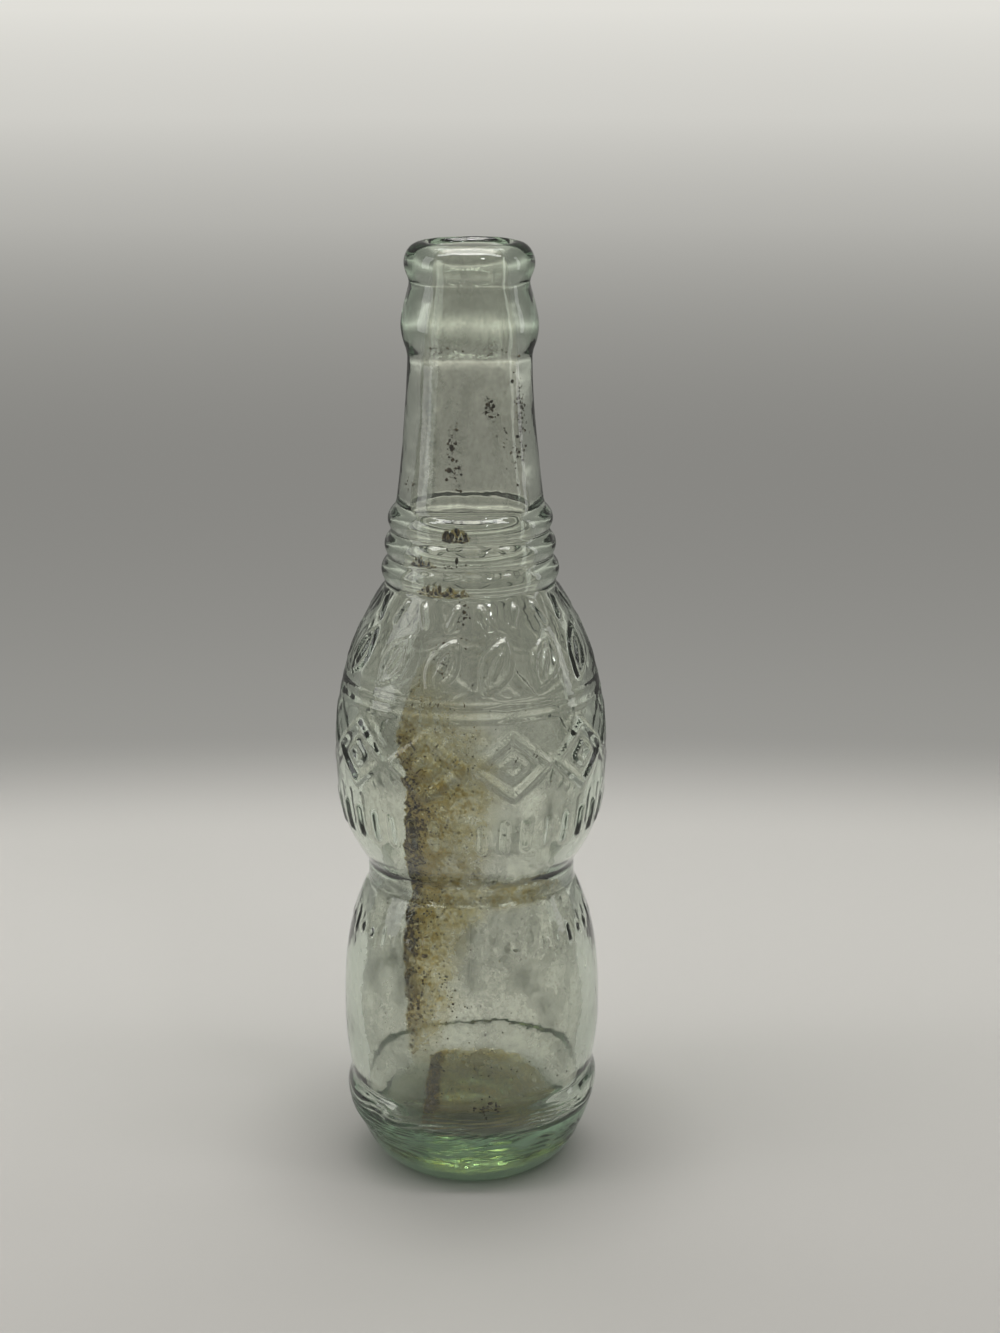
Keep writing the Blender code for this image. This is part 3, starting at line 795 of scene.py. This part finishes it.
residueFinish = {
    "thin": (0.87, 0.71, 0.29), "ochre": (0.60, 0.41, 0.09), "crust": (0.08, 0.045, 0.012),
    "seeThrough": 0.82, "ior": 1.2, "roughness": 0.3,
    "fineSpeckle": 1500, "coarseSpeckle": 520,  # waves per metre
    "grainSpeckle": 3000, "grainRoughness": (0.35, 0.85),
}
grainTones = [(0.0, (0.028, 0.02, 0.012)), (0.45, (0.11, 0.065, 0.02)), (0.75, (0.42, 0.28, 0.09)),
              (1.0, (0.8, 0.76, 0.66))]


def residueMaterial():
    look = residueFinish
    mat, tree, shader, place = newMaterial("driedResidue", {
        "Roughness": look["roughness"], "IOR": look["ior"], "Transmission Weight": look["seeThrough"]})
    cover, crust = told(tree, "cover"), told(tree, "crust")
    fine = remap(noiseValue(place, look["fineSpeckle"], 2, 0.6), 0.32, 0.68)
    coarse = remap(noiseValue(place, look["coarseSpeckle"], 3, 0.6), 0.3, 0.7)
    dark = calc("ADD", times(crust, calc("ADD", 0.3, fine)), times(fine, coarse, 0.3), clamp=True)
    tones = [(0.0, look["thin"]), (0.42, look["ochre"]), (0.85, look["crust"])]
    plug(shader.inputs["Base Color"], ramped(dark, tones))
    patchy = calc("ADD", 0.55, times(calc("ADD", fine, coarse), 0.55))
    alpha = times(calc("ADD", cover, times(crust, 0.5)), patchy)
    plug(shader.inputs["Alpha"], calc("MULTIPLY", alpha, 0.95, clamp=True))
    plug(shader.inputs["Normal"], bumped(fine, 0.1))
    return mat


def grainMaterial():
    mat, tree, shader, place = newMaterial("driedGrains")
    plug(shader.inputs["Base Color"], ramped(told(tree, "tone"), grainTones))
    speckle = noiseValue(place, residueFinish["grainSpeckle"])
    plug(shader.inputs["Roughness"], remap(speckle, 0.3, 0.7, *residueFinish["grainRoughness"]))
    return mat


grainLook = {
    "Smallest": 0.06 * mm, "Largest": 0.26 * mm,  # radius
    "Flatness": 0.45,
    "Seed": 7,
}
grainSpread = {"bias": 2.6, "uneven": (0.6, 1.5)}  # more small ones than large, and how far from round


def grainTree():
    # small flattened lumps at the places given, each turned to face off the wall
    kinds = {**dict.fromkeys(grainLook, "Float"), "Seed": "Int", "Places": "Object", "Crust": "Material"}
    tree, given, out = newTree("scatteredGrains", kinds)
    lump = flow(tree, "GeometryNodeMeshIcoSphere", {"Radius": 1.0, "Subdivisions": 1})
    facing = {"Vector": named(tree, "facing", "FLOAT_VECTOR")}
    turn = flow(tree, "FunctionNodeAlignRotationToVector", facing, axis="Z")

    def chance(step, low, high):
        inputs = {2: low, 3: high, "Seed": calc("ADD", given["Seed"], step)}
        return addNode(tree, "FunctionNodeRandomValue", inputs, data_type="FLOAT").outputs[1]

    share = calc("POWER", chance(0, 0.0, 1.0), grainSpread["bias"])
    size = calc("ADD", given["Smallest"], times(share, calc("SUBTRACT", given["Largest"], given["Smallest"])))
    size = times(size, named(tree, "grow"))
    wide, deep = (times(size, chance(step, *grainSpread["uneven"])) for step in (1, 2))
    scale = joined(tree, X=wide, Y=deep, Z=times(size, given["Flatness"]))
    grains = flow(tree, "GeometryNodeInstanceOnPoints", {
        "Points": meshOf(tree, given["Places"]), "Instance": lump, "Rotation": turn, "Scale": scale})
    real = flow(tree, "GeometryNodeRealizeInstances", {0: grains})
    plug(out, coated(real, given["Crust"]))
    return tree


filmFinish, crumbFinish, scattering = residueMaterial(), grainMaterial(), grainTree()


def makeGrains(name, places):
    # places: ((spot, facing), growth, tone)
    walls, grow, tone = zip(*places)
    mesh = newMesh(name + "Places", [spot for spot, facing in walls], grow=grow, tone=tone)
    facings = mesh.attributes.new("facing", "FLOAT_VECTOR", "POINT").data
    facings.foreach_set("vector", [part for spot, facing in walls for part in facing])
    guide = linked(name + "Places", mesh)
    keepPiece(grown(name, scattering, {"Places": guide, "Crust": crumbFinish, **grainLook}))
    bpy.data.objects.remove(guide)
    print(name + ":", len(places), "grains")


streakFilm = {"grid": (176, 84), "left": -43.0, "right": 22.0, "grains": 3400, "seed": 3}
streak = {  # height in mm: azimuth of the left edge, of the right edge, film, crust
    115.0: (-27, -12, 0.06, 0.1), 107.0: (-32, 4, 0.30, 0.25), 100.0: (-36, 13, 0.62, 0.4),
    93.0: (-31, 16, 0.85, 0.65), 87.0: (-30, 16, 0.92, 0.9), 81.0: (-31, 12, 0.92, 1.0),
    74.0: (-35, 10, 0.95, 1.0), 69.0: (-38, 14, 1.0, 0.9), 65.0: (-40, 14, 1.0, 0.8),
    61.0: (-40, 10, 0.95, 0.9), 56.0: (-38, 2, 0.9, 0.85), 50.0: (-35, -2, 0.75, 0.7),
    43.0: (-33, -5, 0.68, 0.6), 38.0: (-32, -8, 0.55, 0.5), 34.0: (-31, -10, 0.3, 0.3),
    30.0: (-30, -12, 0.15, 0.1),
}


def along(rows, z):
    # the values of a table of heights, read between its rows
    heights = sorted(rows)
    z = min(max(z, heights[0]), heights[-1])
    for low, high in zip(heights, heights[1:]):
        if z <= high:
            share = (z - low) / (high - low)
            return [between(a, b, share) for a, b in zip(rows[low], rows[high])]


def wander(x, y, scale, seed):
    # smooth noise about 0
    return noise.noise(Vector((x * scale, y * scale, seed)))


def streakCover(azimuth, z):
    left, right, film, crust = along(streak, z)
    left += 2.6 * wander(z, 0, 0.32, 5) + 1.4 * wander(z, 0, 1.3, 8)
    right += 6 * wander(z, 0, 0.22, 11) + 2 * wander(z, 0, 1.1, 14)
    edge = fade(azimuth, left - 0.7, left + 0.7)
    body = 1 - 0.6 * fade(azimuth, left + 4, right)
    cover = film * edge * body * (1 - fade(azimuth, right - 11, right + 3))
    thinning = 1 - 0.75 * fade(azimuth, left + 3, left + 14) - 0.25 * fade(azimuth, left + 12, right)
    mottle = 0.85 + 0.55 * wander(azimuth * 0.4, z, 0.35, 21)
    crust *= edge * thinning * (0.85 + 0.8 * wander(azimuth * 0.4, z, 0.5, 31))
    return max(0.0, cover * mottle), max(0.0, min(1.0, crust))


def makeStreak():
    dice = random.Random(streakFilm["seed"])
    low, high, left, right = min(streak), max(streak), streakFilm["left"], streakFilm["right"]
    spotAt = areaOf(left, right, low, high)
    makeFilm("streak_film", streakFilm["grid"], onWall, spotAt, lambda u, v: streakCover(*spotAt(u, v)),
             filmFinish, "residue_streak")
    places = []
    while len(places) < streakFilm["grains"]:
        azimuth, z = dice.uniform(left, right), dice.uniform(low, high)
        cover, crust = streakCover(azimuth, z)
        if dice.random() < 0.2 * cover + 0.85 * crust**1.5:
            tone = dice.uniform(0.0, 0.5) if dice.random() < 0.4 + 0.5 * crust else dice.uniform(0.5, 0.85)
            places.append((onWall(azimuth, z, grainDepth), 0.85 + 0.9 * crust * dice.random(), tone))
    makeGrains("streak_grains", places)


waistStain = {"grid": (24, 90), "low": 60.6, "high": 71.2, "left": 4.0, "right": 84.0, "film": 0.6}


def makeWaistStain():
    # the streak spreads to the right along the ledge that the waist makes inside
    stain = waistStain
    spotAt = areaOf(stain["left"], stain["right"], stain["low"], stain["high"])

    def coverAt(u, v):
        x, z = u * 40, spotAt(u, v)[1]
        ends = fade(u, 0, 0.16) * (1 - fade(u, 0.55 + 0.3 * wander(z, 0, 0.5, 61), 1.0))
        ends *= fade(v, 0, 0.3) * fade(1 - v, 0, 0.35)
        thick = stain["film"] * ends * (0.85 + 0.8 * wander(x, z, 0.4, 63))
        return thick, 0.25 * ends * max(0.0, wander(x, z, 0.8, 66) + 0.3)

    makeFilm("waist_stain", stain["grid"], onWall, spotAt, coverAt, filmFinish)


fleckFilm = {"grid": (14, 60), "tries": 1500, "seed": 11}
flecks = {  # node: azimuth and height of the middle, width in degrees, height in mm
    "residue_fleck_shoulder": (-22.0, 128.4, 52.0, 3.0),
    "residue_fleck_low_ring": (-41.0, 133.8, 28.0, 2.4),
    "residue_fleck_middle_ring": (-12.0, 139.6, 28.0, 2.6),
}


def makeFlecks():
    dice = random.Random(fleckFilm["seed"])
    for node, (azimuth, height, width, tall) in flecks.items():
        def spotAt(u, v):
            return azimuth + (u - 0.5) * width, height + (v - 0.5) * tall

        def coverAt(u, v):
            x, y = (u - 0.5) * width, (v - 0.5) * tall
            ragged = 0.75 + 2.2 * wander(x * 0.35, y, 1.5, azimuth + 2)
            pinch = 1.1 + 0.6 * wander(x, 0, 0.25, 3)
            edge = 1 - fade(math.hypot((u - 0.5) * 2, (v - 0.5) * 2 * pinch), 0.65, 1.0)
            thick = max(0.0, min(1.0, ragged * 1.3)) * edge
            return 0.7 * thick, thick * (0.35 + 1.2 * abs(wander(x * 0.35, y, 1.7, azimuth + 9)))

        name = node.replace("residue", "film")
        makeFilm(name, fleckFilm["grid"], onWall, spotAt, coverAt, filmFinish, node)
        places = []
        for _ in range(fleckFilm["tries"]):
            u, v = dice.random(), dice.random()
            thick, dark = coverAt(u, v)
            if dice.random() < 0.22 * thick + 0.6 * dark**1.5:
                place = onWall(*spotAt(u, v), grainDepth)
                places.append((place, dice.uniform(0.8, 1.6), dice.choice((0.0, 0.0, 0.1, 0.3, 0.6))))
        makeGrains(node.replace("residue", "grains"), places)


floorStain = {
    "grid": (100, 130), "grains": 950, "seed": 19,
    "radius": 21.8,  # mm, out to where the floor has turned up
    "sideReach": 19.6,
    "stripLeft": -10.2, "stripDark": 2.8, "stripRight": -5.4, "stripFade": 4.0,
    "front": -14.0,
    "stain": 0.62, "strip": 1.0,
}


def floorCover(x, y):
    # the stain stops short at the sides and at the front, and climbs the turn at the back
    stain = floorStain
    side = stain["sideReach"]
    reach = math.hypot(x, y * (1.0 if y < 0 else side / stain["radius"]))
    inside = (1 - fade(reach, side - 1.2, side)) * fade(y, stain["front"] - 3.5, stain["front"])
    left = stain["stripLeft"] + 0.35 * wander(y, 0, 0.5, 41)
    edge = fade(x, left - 0.25, left + 0.25)
    strip = edge * (1 - 0.8 * fade(x, left + 1.2, stain["stripRight"] + stain["stripFade"]))
    crust = edge * (1 - fade(x, left + 1.2, left + stain["stripDark"] + 1.2))
    crust *= 1.4 + 0.9 * wander(x, y, 0.8, 44)
    sediment = stain["stain"] * (0.25 + 0.75 * edge) * (0.9 + 0.5 * wander(x, y, 0.2, 47))
    sediment *= 1 - 0.5 * fade(x, left + 9, side)
    crust = max(crust, 0.12 * edge * (0.8 + 0.8 * wander(x, y, 0.3, 49)))
    film = max(strip * stain["strip"] * (0.9 + 0.5 * wander(x, y, 0.6, 51)), sediment)
    return max(0.0, inside * film), max(0.0, inside * crust)


def makeFloorStain():
    dice = random.Random(floorStain["seed"])
    radius, side = floorStain["radius"], floorStain["sideReach"] + 0.2

    def spotAt(u, v):
        # a chord for each share across
        x = between(-side, side, u)
        return x, (v * 2 - 1) * math.sqrt(radius**2 - x**2)

    makeFilm("floor_film", floorStain["grid"], onFloor, spotAt, lambda u, v: floorCover(*spotAt(u, v)),
             filmFinish, "residue_floor_strip")
    places = []
    while len(places) < floorStain["grains"]:
        x, y = dice.uniform(-radius, radius), dice.uniform(-radius, radius)
        if math.hypot(x, y) < radius:
            cover, crust = floorCover(x, y)
            if dice.random() < 0.03 * cover + 0.9 * crust**2:
                tone = dice.choice((0.0, 0.1, 0.3, 0.5, 0.7))
                places.append((onFloor(x, y, grainDepth), 0.8 + min(1.0, crust), tone))
    makeGrains("floor_grains", places)


speckLook = {"depth": 0.04, "seed": 23}
speckClusters = [  # azimuth and height of the middle, spread in degrees and mm, how many, growth
    (22, 164.7, 8, 2.2, 60, 1.5), (-17, 158.8, 5, 4.4, 50, 1.5), (-14, 152.6, 6, 2.2, 34, 1.6),
    (-11, 149.2, 4, 1.6, 12, 1.4), (62, 163.0, 9, 8.5, 170, 1.4), (50, 154.0, 8, 5.5, 34, 1.3),
    (38, 158.0, 7, 6.0, 16, 1.0), (-70, 148.4, 10, 2.6, 26, 1.2), (-30, 176.8, 26, 1.0, 40, 1.0),
    (30, 176.6, 30, 0.9, 26, 0.9), (-5, 123.6, 5, 4.6, 52, 1.4), (-17, 115.5, 7, 5.0, 44, 1.2),
    (-15, 134.2, 12, 1.1, 26, 1.2), (20, 112.0, 60, 9.0, 60, 0.8), (10, 95.0, 70, 12.0, 150, 0.8),
    (8, 79.0, 75, 6.0, 120, 0.8), (10, 50.0, 75, 9.0, 180, 0.8), (0, 38.0, 80, 7.0, 150, 0.85),
    (20, 27.0, 90, 5.0, 150, 0.95), (180, 45.0, 90, 14.0, 170, 0.8), (180, 95.0, 90, 16.0, 150, 0.7),
    (8, 19.5, 9, 2.0, 60, 1.6), (-8, 44.0, 10, 3.0, 16, 1.2),
]


def makeSpecks():
    dice = random.Random(speckLook["seed"])
    places = []
    for azimuth, z, spread, tall, count, grow in speckClusters:
        for _ in range(count):
            x, y = azimuth + dice.gauss(0, spread / 2), z + dice.gauss(0, tall / 2)
            y = min(max(y, shape["floorHeight"] + 2.5), top - 6)
            tone = dice.choice((0.0, 0.1, 0.2, 0.35, 0.5, 1.0)) if grow < 0.9 else dice.uniform(0.0, 0.3)
            places.append((onWall(x, y, speckLook["depth"]), grow, tone))
    makeGrains("wall_specks", places)


# Haze: a whitish bloom over the whole inner wall, thicker in patches

hazeRows = {  # height in mm: bloom, and how patchy it is
    194.0: (0.2, 0.5), 189.0: (0.3, 0.6), 184.0: (0.12, 0.4), 178.0: (0.30, 0.8), 170.0: (0.20, 0.8),
    158.0: (0.22, 0.8), 146.0: (0.16, 0.6), 130.0: (0.14, 0.5), 115.0: (0.18, 0.5), 98.0: (0.22, 0.6),
    84.0: (0.22, 0.6), 70.0: (0.16, 0.5), 58.0: (0.34, 0.6), 44.0: (0.42, 0.6), 32.0: (0.34, 0.6),
    25.0: (0.10, 0.4), 17.0: (0.05, 0.4),
}
hazePatches = [  # azimuth, height, width in degrees, height in mm, strength
    (-84, 157.0, 34, 17.0, 1.6), (-44, 156.0, 15, 14.0, 2.2), (-46, 168.0, 30, 7.0, 0.9),
    (80, 157.0, 12, 13.0, 1.0), (28, 176.0, 34, 2.6, 0.7), (-34, 176.5, 30, 2.2, 0.6),
    (-52, 50.0, 22, 14.0, 0.45), (18, 46.0, 24, 16.0, 0.35), (55, 58.0, 20, 10.0, 0.4),
    (-60, 88.0, 24, 14.0, 0.4), (46, 84.0, 30, 9.0, 0.4), (20, 70.0, 40, 3.0, 0.35),
    (60, 30.0, 26, 8.0, 0.4), (-64, 28.0, 24, 8.0, 0.35), (150, 60.0, 50, 20.0, 0.3),
    (-150, 100.0, 50, 20.0, 0.3), (170, 150.0, 60, 16.0, 0.3),
]
hazeFinish = {
    "grid": (130, 144), "depth": 0.025,  # mm nearer the glass than the other films
    "bloom": (0.88, 0.86, 0.70), "roughness": 0.9, "glow": 0.6,
    "cloud": 95, "speckle": 1000,
}


def hazeCover(azimuth, z):
    bloom, uneven = along(hazeRows, z)
    angle = math.radians(azimuth)
    spot = Vector((math.sin(angle) * 24, -math.cos(angle) * 24, z * 0.8))  # on a drum, so that it has no seam
    cloud = noise.fractal(spot * 0.11, 0.9, 2.1, 3)
    thick = bloom * max(0.1, 1 + uneven * 1.7 * cloud)
    for middle, height, wide, tall, strength in hazePatches:
        aside = (azimuth - middle + 180) % 360 - 180
        away = math.hypot(aside / wide, (z - height) / tall)
        if away < 1.3:
            patchy = max(0.0, 0.65 + 1.6 * noise.fractal(spot * 0.2, 0.8, 2.2, 3))
            thick += strength * (1 - fade(away, 0.1, 1.2)) * patchy
    return thick


def hazeMaterial():
    look = hazeFinish
    mat, tree, shader, place = newMaterial("whitishBloom", {
        "Base Color": look["bloom"], "Roughness": look["roughness"], "Specular IOR Level": 0.1,
        "Subsurface Weight": 0.9, "Subsurface Radius": (1, 1, 1), "Subsurface Scale": look["glow"] * mm})
    speckle = remap(noiseValue(place, look["speckle"], 2, 0.6), 0.36, 0.74)
    cloud = remap(noiseValue(place, look["cloud"], 4, 0.6, (1, 1, 0.6)), 0.35, 0.7)
    patchy = calc("ADD", times(speckle, 0.45), cloud)
    plug(shader.inputs["Alpha"], calc("MULTIPLY", times(told(tree, "cover"), patchy), 0.5, clamp=True))
    return mat


def makeHaze():
    low, high = shape["floorHeight"] + shape["floorCorner"] + 0.6, top - shape["mouthRound"] - 0.4
    spotAt = areaOf(0, 360, low, high)

    def surface(azimuth, z, inset):
        return onWall(azimuth, z, inset - hazeFinish["depth"])

    def coverAt(u, v):
        ends = fade(v, 0, 0.01) * (1 - fade(v, 0.97, 1))
        return hazeCover(*spotAt(u, v)) * ends, 0.0

    makeFilm("wall_bloom", hazeFinish["grid"], surface, spotAt, coverAt, hazeMaterial())


makeStreak()
makeWaistStain()
makeFlecks()
makeFloorStain()
makeSpecks()
makeHaze()


# Studio: a pale floor that darkens into a grey sweep painted as a glow, soft lamps and a soft sky

studio = {
    # the floor's colour is painted lighter from front to back, a painted fall of light, as if more light came
    # from behind and above
    "floorFront": (0.53, 0.515, 0.48),
    "floorBack": (0.71, 0.695, 0.65),
    "floorReach": 60.0,
    "floorShift": (-0.12, 0.17),  # metres along the floor from the front tone to the back one
    "floorDepth": 0.05,  # mm under the foot
    "floorRoughness": 0.42, "floorSheen": 0.4,
    # the sweep has no shape of its own: past sweepStart the flat floor shows a painted glow of greys
    "sweepStart": 0.205,  # metres behind the bottle where the sweep rises
    "sweepEnd": 0.315,
    "sweepWiden": 0.45,  # the sweep is wider than it is deep
    "sky": [(0.0, 0.74), (0.05, 0.50), (0.14, 0.27), (1.0, 0.24)],  # sine of the elevation, grey seen there
    "ceiling": 7.0,  # a lit ceiling, seen only where the glass mirrors what is above it
    "ceilingEdge": (0.86, 0.93),  # sine of the elevation
    "skyLight": 0.27,  # the grey that lights things
    # footShade is a painted contact shadow on the floor round the foot
    "footShade": (18.0, 62.0, 0.76),  # mm from the axis where it is dullest and where it ends, and how dull
    "mirrored": 0.5,  # how much of the seen sky and sweep a reflection shows
}
# metres away along the sweep, and the grey that its painted glow shows
sweepTones = [(0.25, 0.33), (0.45, 0.265), (0.85, 0.225), (1.4, 0.30), (2.2, 0.43), (4.5, 0.62), (30.0, 0.76)]
lamps = {  # place and size in mm, power in watts
    "panel": {"place": (0, -190, 800), "size": (1150, 120), "power": 3.3},
    "backWash": {"place": (0, 330, 900), "size": (700, 240), "power": 1.6},
    "leftWash": {"place": (-430, -60, 260), "size": (180, 380), "power": 0.4},
    "rightStrip": {"place": (470, 60, 240), "size": (60, 380), "power": 0.13},
    "smallLamp": {"place": (230, -420, 620), "size": (46, 46), "power": 0.22},
}


def toned(value, warmth=0.045):
    # a grey with the studio's slight warmth
    return value * (1 + warmth / 3), value, value * (1 - warmth * 1.4)


def seenBy(tree):
    # whether a ray from the camera, from a mirror or through glass looks here, how bright it looks,
    # and whether it is mirrored
    path = addNode(tree, "ShaderNodeLightPath").outputs
    glossy = path["Is Glossy Ray"]
    straight = calc("MAXIMUM", path["Is Camera Ray"], path["Is Transmission Ray"])
    strength = calc("MAXIMUM", straight, times(glossy, studio["mirrored"]))
    return calc("MAXIMUM", straight, glossy), strength, glossy


def floorMaterial():
    look = studio
    mat, tree, shader, place = newMaterial("paleFloor", {
        "Roughness": look["floorRoughness"], "Specular IOR Level": look["floorSheen"]})
    # painted fall of light: the floor's colour turns from the front tone to the lighter back tone
    blend = {0: remap(split(place)["Y"], *look["floorShift"]), 6: look["floorFront"], 7: look["floorBack"]}
    shade = addNode(tree, "ShaderNodeMix", blend, data_type="RGBA").outputs[2]
    # a patch painted darker round the foot is a painted contact shadow, deepening the shadow that the lamps
    # cast
    near, far, dullest = look["footShade"]
    paintedShadow = remap(lengthOf(place), near * mm, far * mm, dullest, 1.0)
    plug(shader.inputs["Base Color"], calcVector("MULTIPLY", shade, paintedShadow))
    # past the sweep's start, rays from the camera, mirrors and glass see a painted glow of greys instead of
    # the lit floor
    away = lengthOf(calcVector("MULTIPLY", place, (look["sweepWiden"], 1, 1)))
    first, last = math.log(sweepTones[0][0]), math.log(sweepTones[-1][0])
    stops = [((math.log(metres) - first) / (last - first), toned(tone)) for metres, tone in sweepTones]
    colour = ramped(remap(calc("LOGARITHM", away, math.e), first, last, kind="LINEAR"), stops, "B_SPLINE")
    seen, strength, mirrored = seenBy(tree)
    glow = addNode(tree, "ShaderNodeEmission", {"Color": colour, "Strength": strength})
    share = times(seen, remap(away, look["sweepStart"], look["sweepEnd"]))
    plug(tree.nodes["Material Output"].inputs["Surface"], mixed(share, shader, glow))
    return mat


def makeFloor():
    bm = bmesh.new()
    bmesh.ops.create_circle(bm, cap_ends=True, segments=96, radius=studio["floorReach"])
    bmesh.ops.translate(bm, verts=bm.verts, vec=(0, 0, -studio["floorDepth"] * mm))
    mesh = bpy.data.meshes.new("floor")
    bm.to_mesh(mesh)
    bm.free()
    mesh.materials.append(floorMaterial())
    linked("floor", mesh)


def makeSky():
    world = bpy.data.worlds.new("softSky")
    bpy.context.scene.world = world
    world.use_nodes = True
    tree = world.node_tree
    height = split(addNode(tree, "ShaderNodeTexCoord").outputs["Generated"])["Z"]
    seen, strength, mirrored = seenBy(tree)
    ceiling = times(remap(height, *studio["ceilingEdge"]), studio["ceiling"] / studio["sky"][-1][1], mirrored)
    sky = tree.nodes["Background"]
    stops = [(spot, toned(tone)) for spot, tone in studio["sky"]]
    plug(sky.inputs["Color"], ramped(height, stops))
    plug(sky.inputs["Strength"], calc("ADD", strength, ceiling))
    light = addNode(tree, "ShaderNodeBackground", {"Color": toned(studio["skyLight"], 0.0)})
    plug(tree.nodes["World Output"].inputs["Surface"], mixed(seen, light, sky))


def makeLamps():
    aim = Vector((0, 0, 90 * mm))
    for name, lamp in lamps.items():
        data = bpy.data.lights.new(name, "AREA")
        data.shape = "RECTANGLE"
        data.size, data.size_y = (side * mm for side in lamp["size"])
        data.energy = lamp["power"]
        obj = linked(name, data)
        obj.location = Vector(lamp["place"]) * mm
        obj.rotation_euler = (aim - obj.location).to_track_quat("-Z", "Y").to_euler()


makeFloor()
makeSky()
makeLamps()
cycles = bpy.context.scene.cycles
cycles.transparent_max_bounces = 32  # the dried films are many thin layers
cycles.max_bounces = cycles.transmission_bounces = 28
cycles.caustics_reflective = cycles.caustics_refractive = False
print("studio ready")
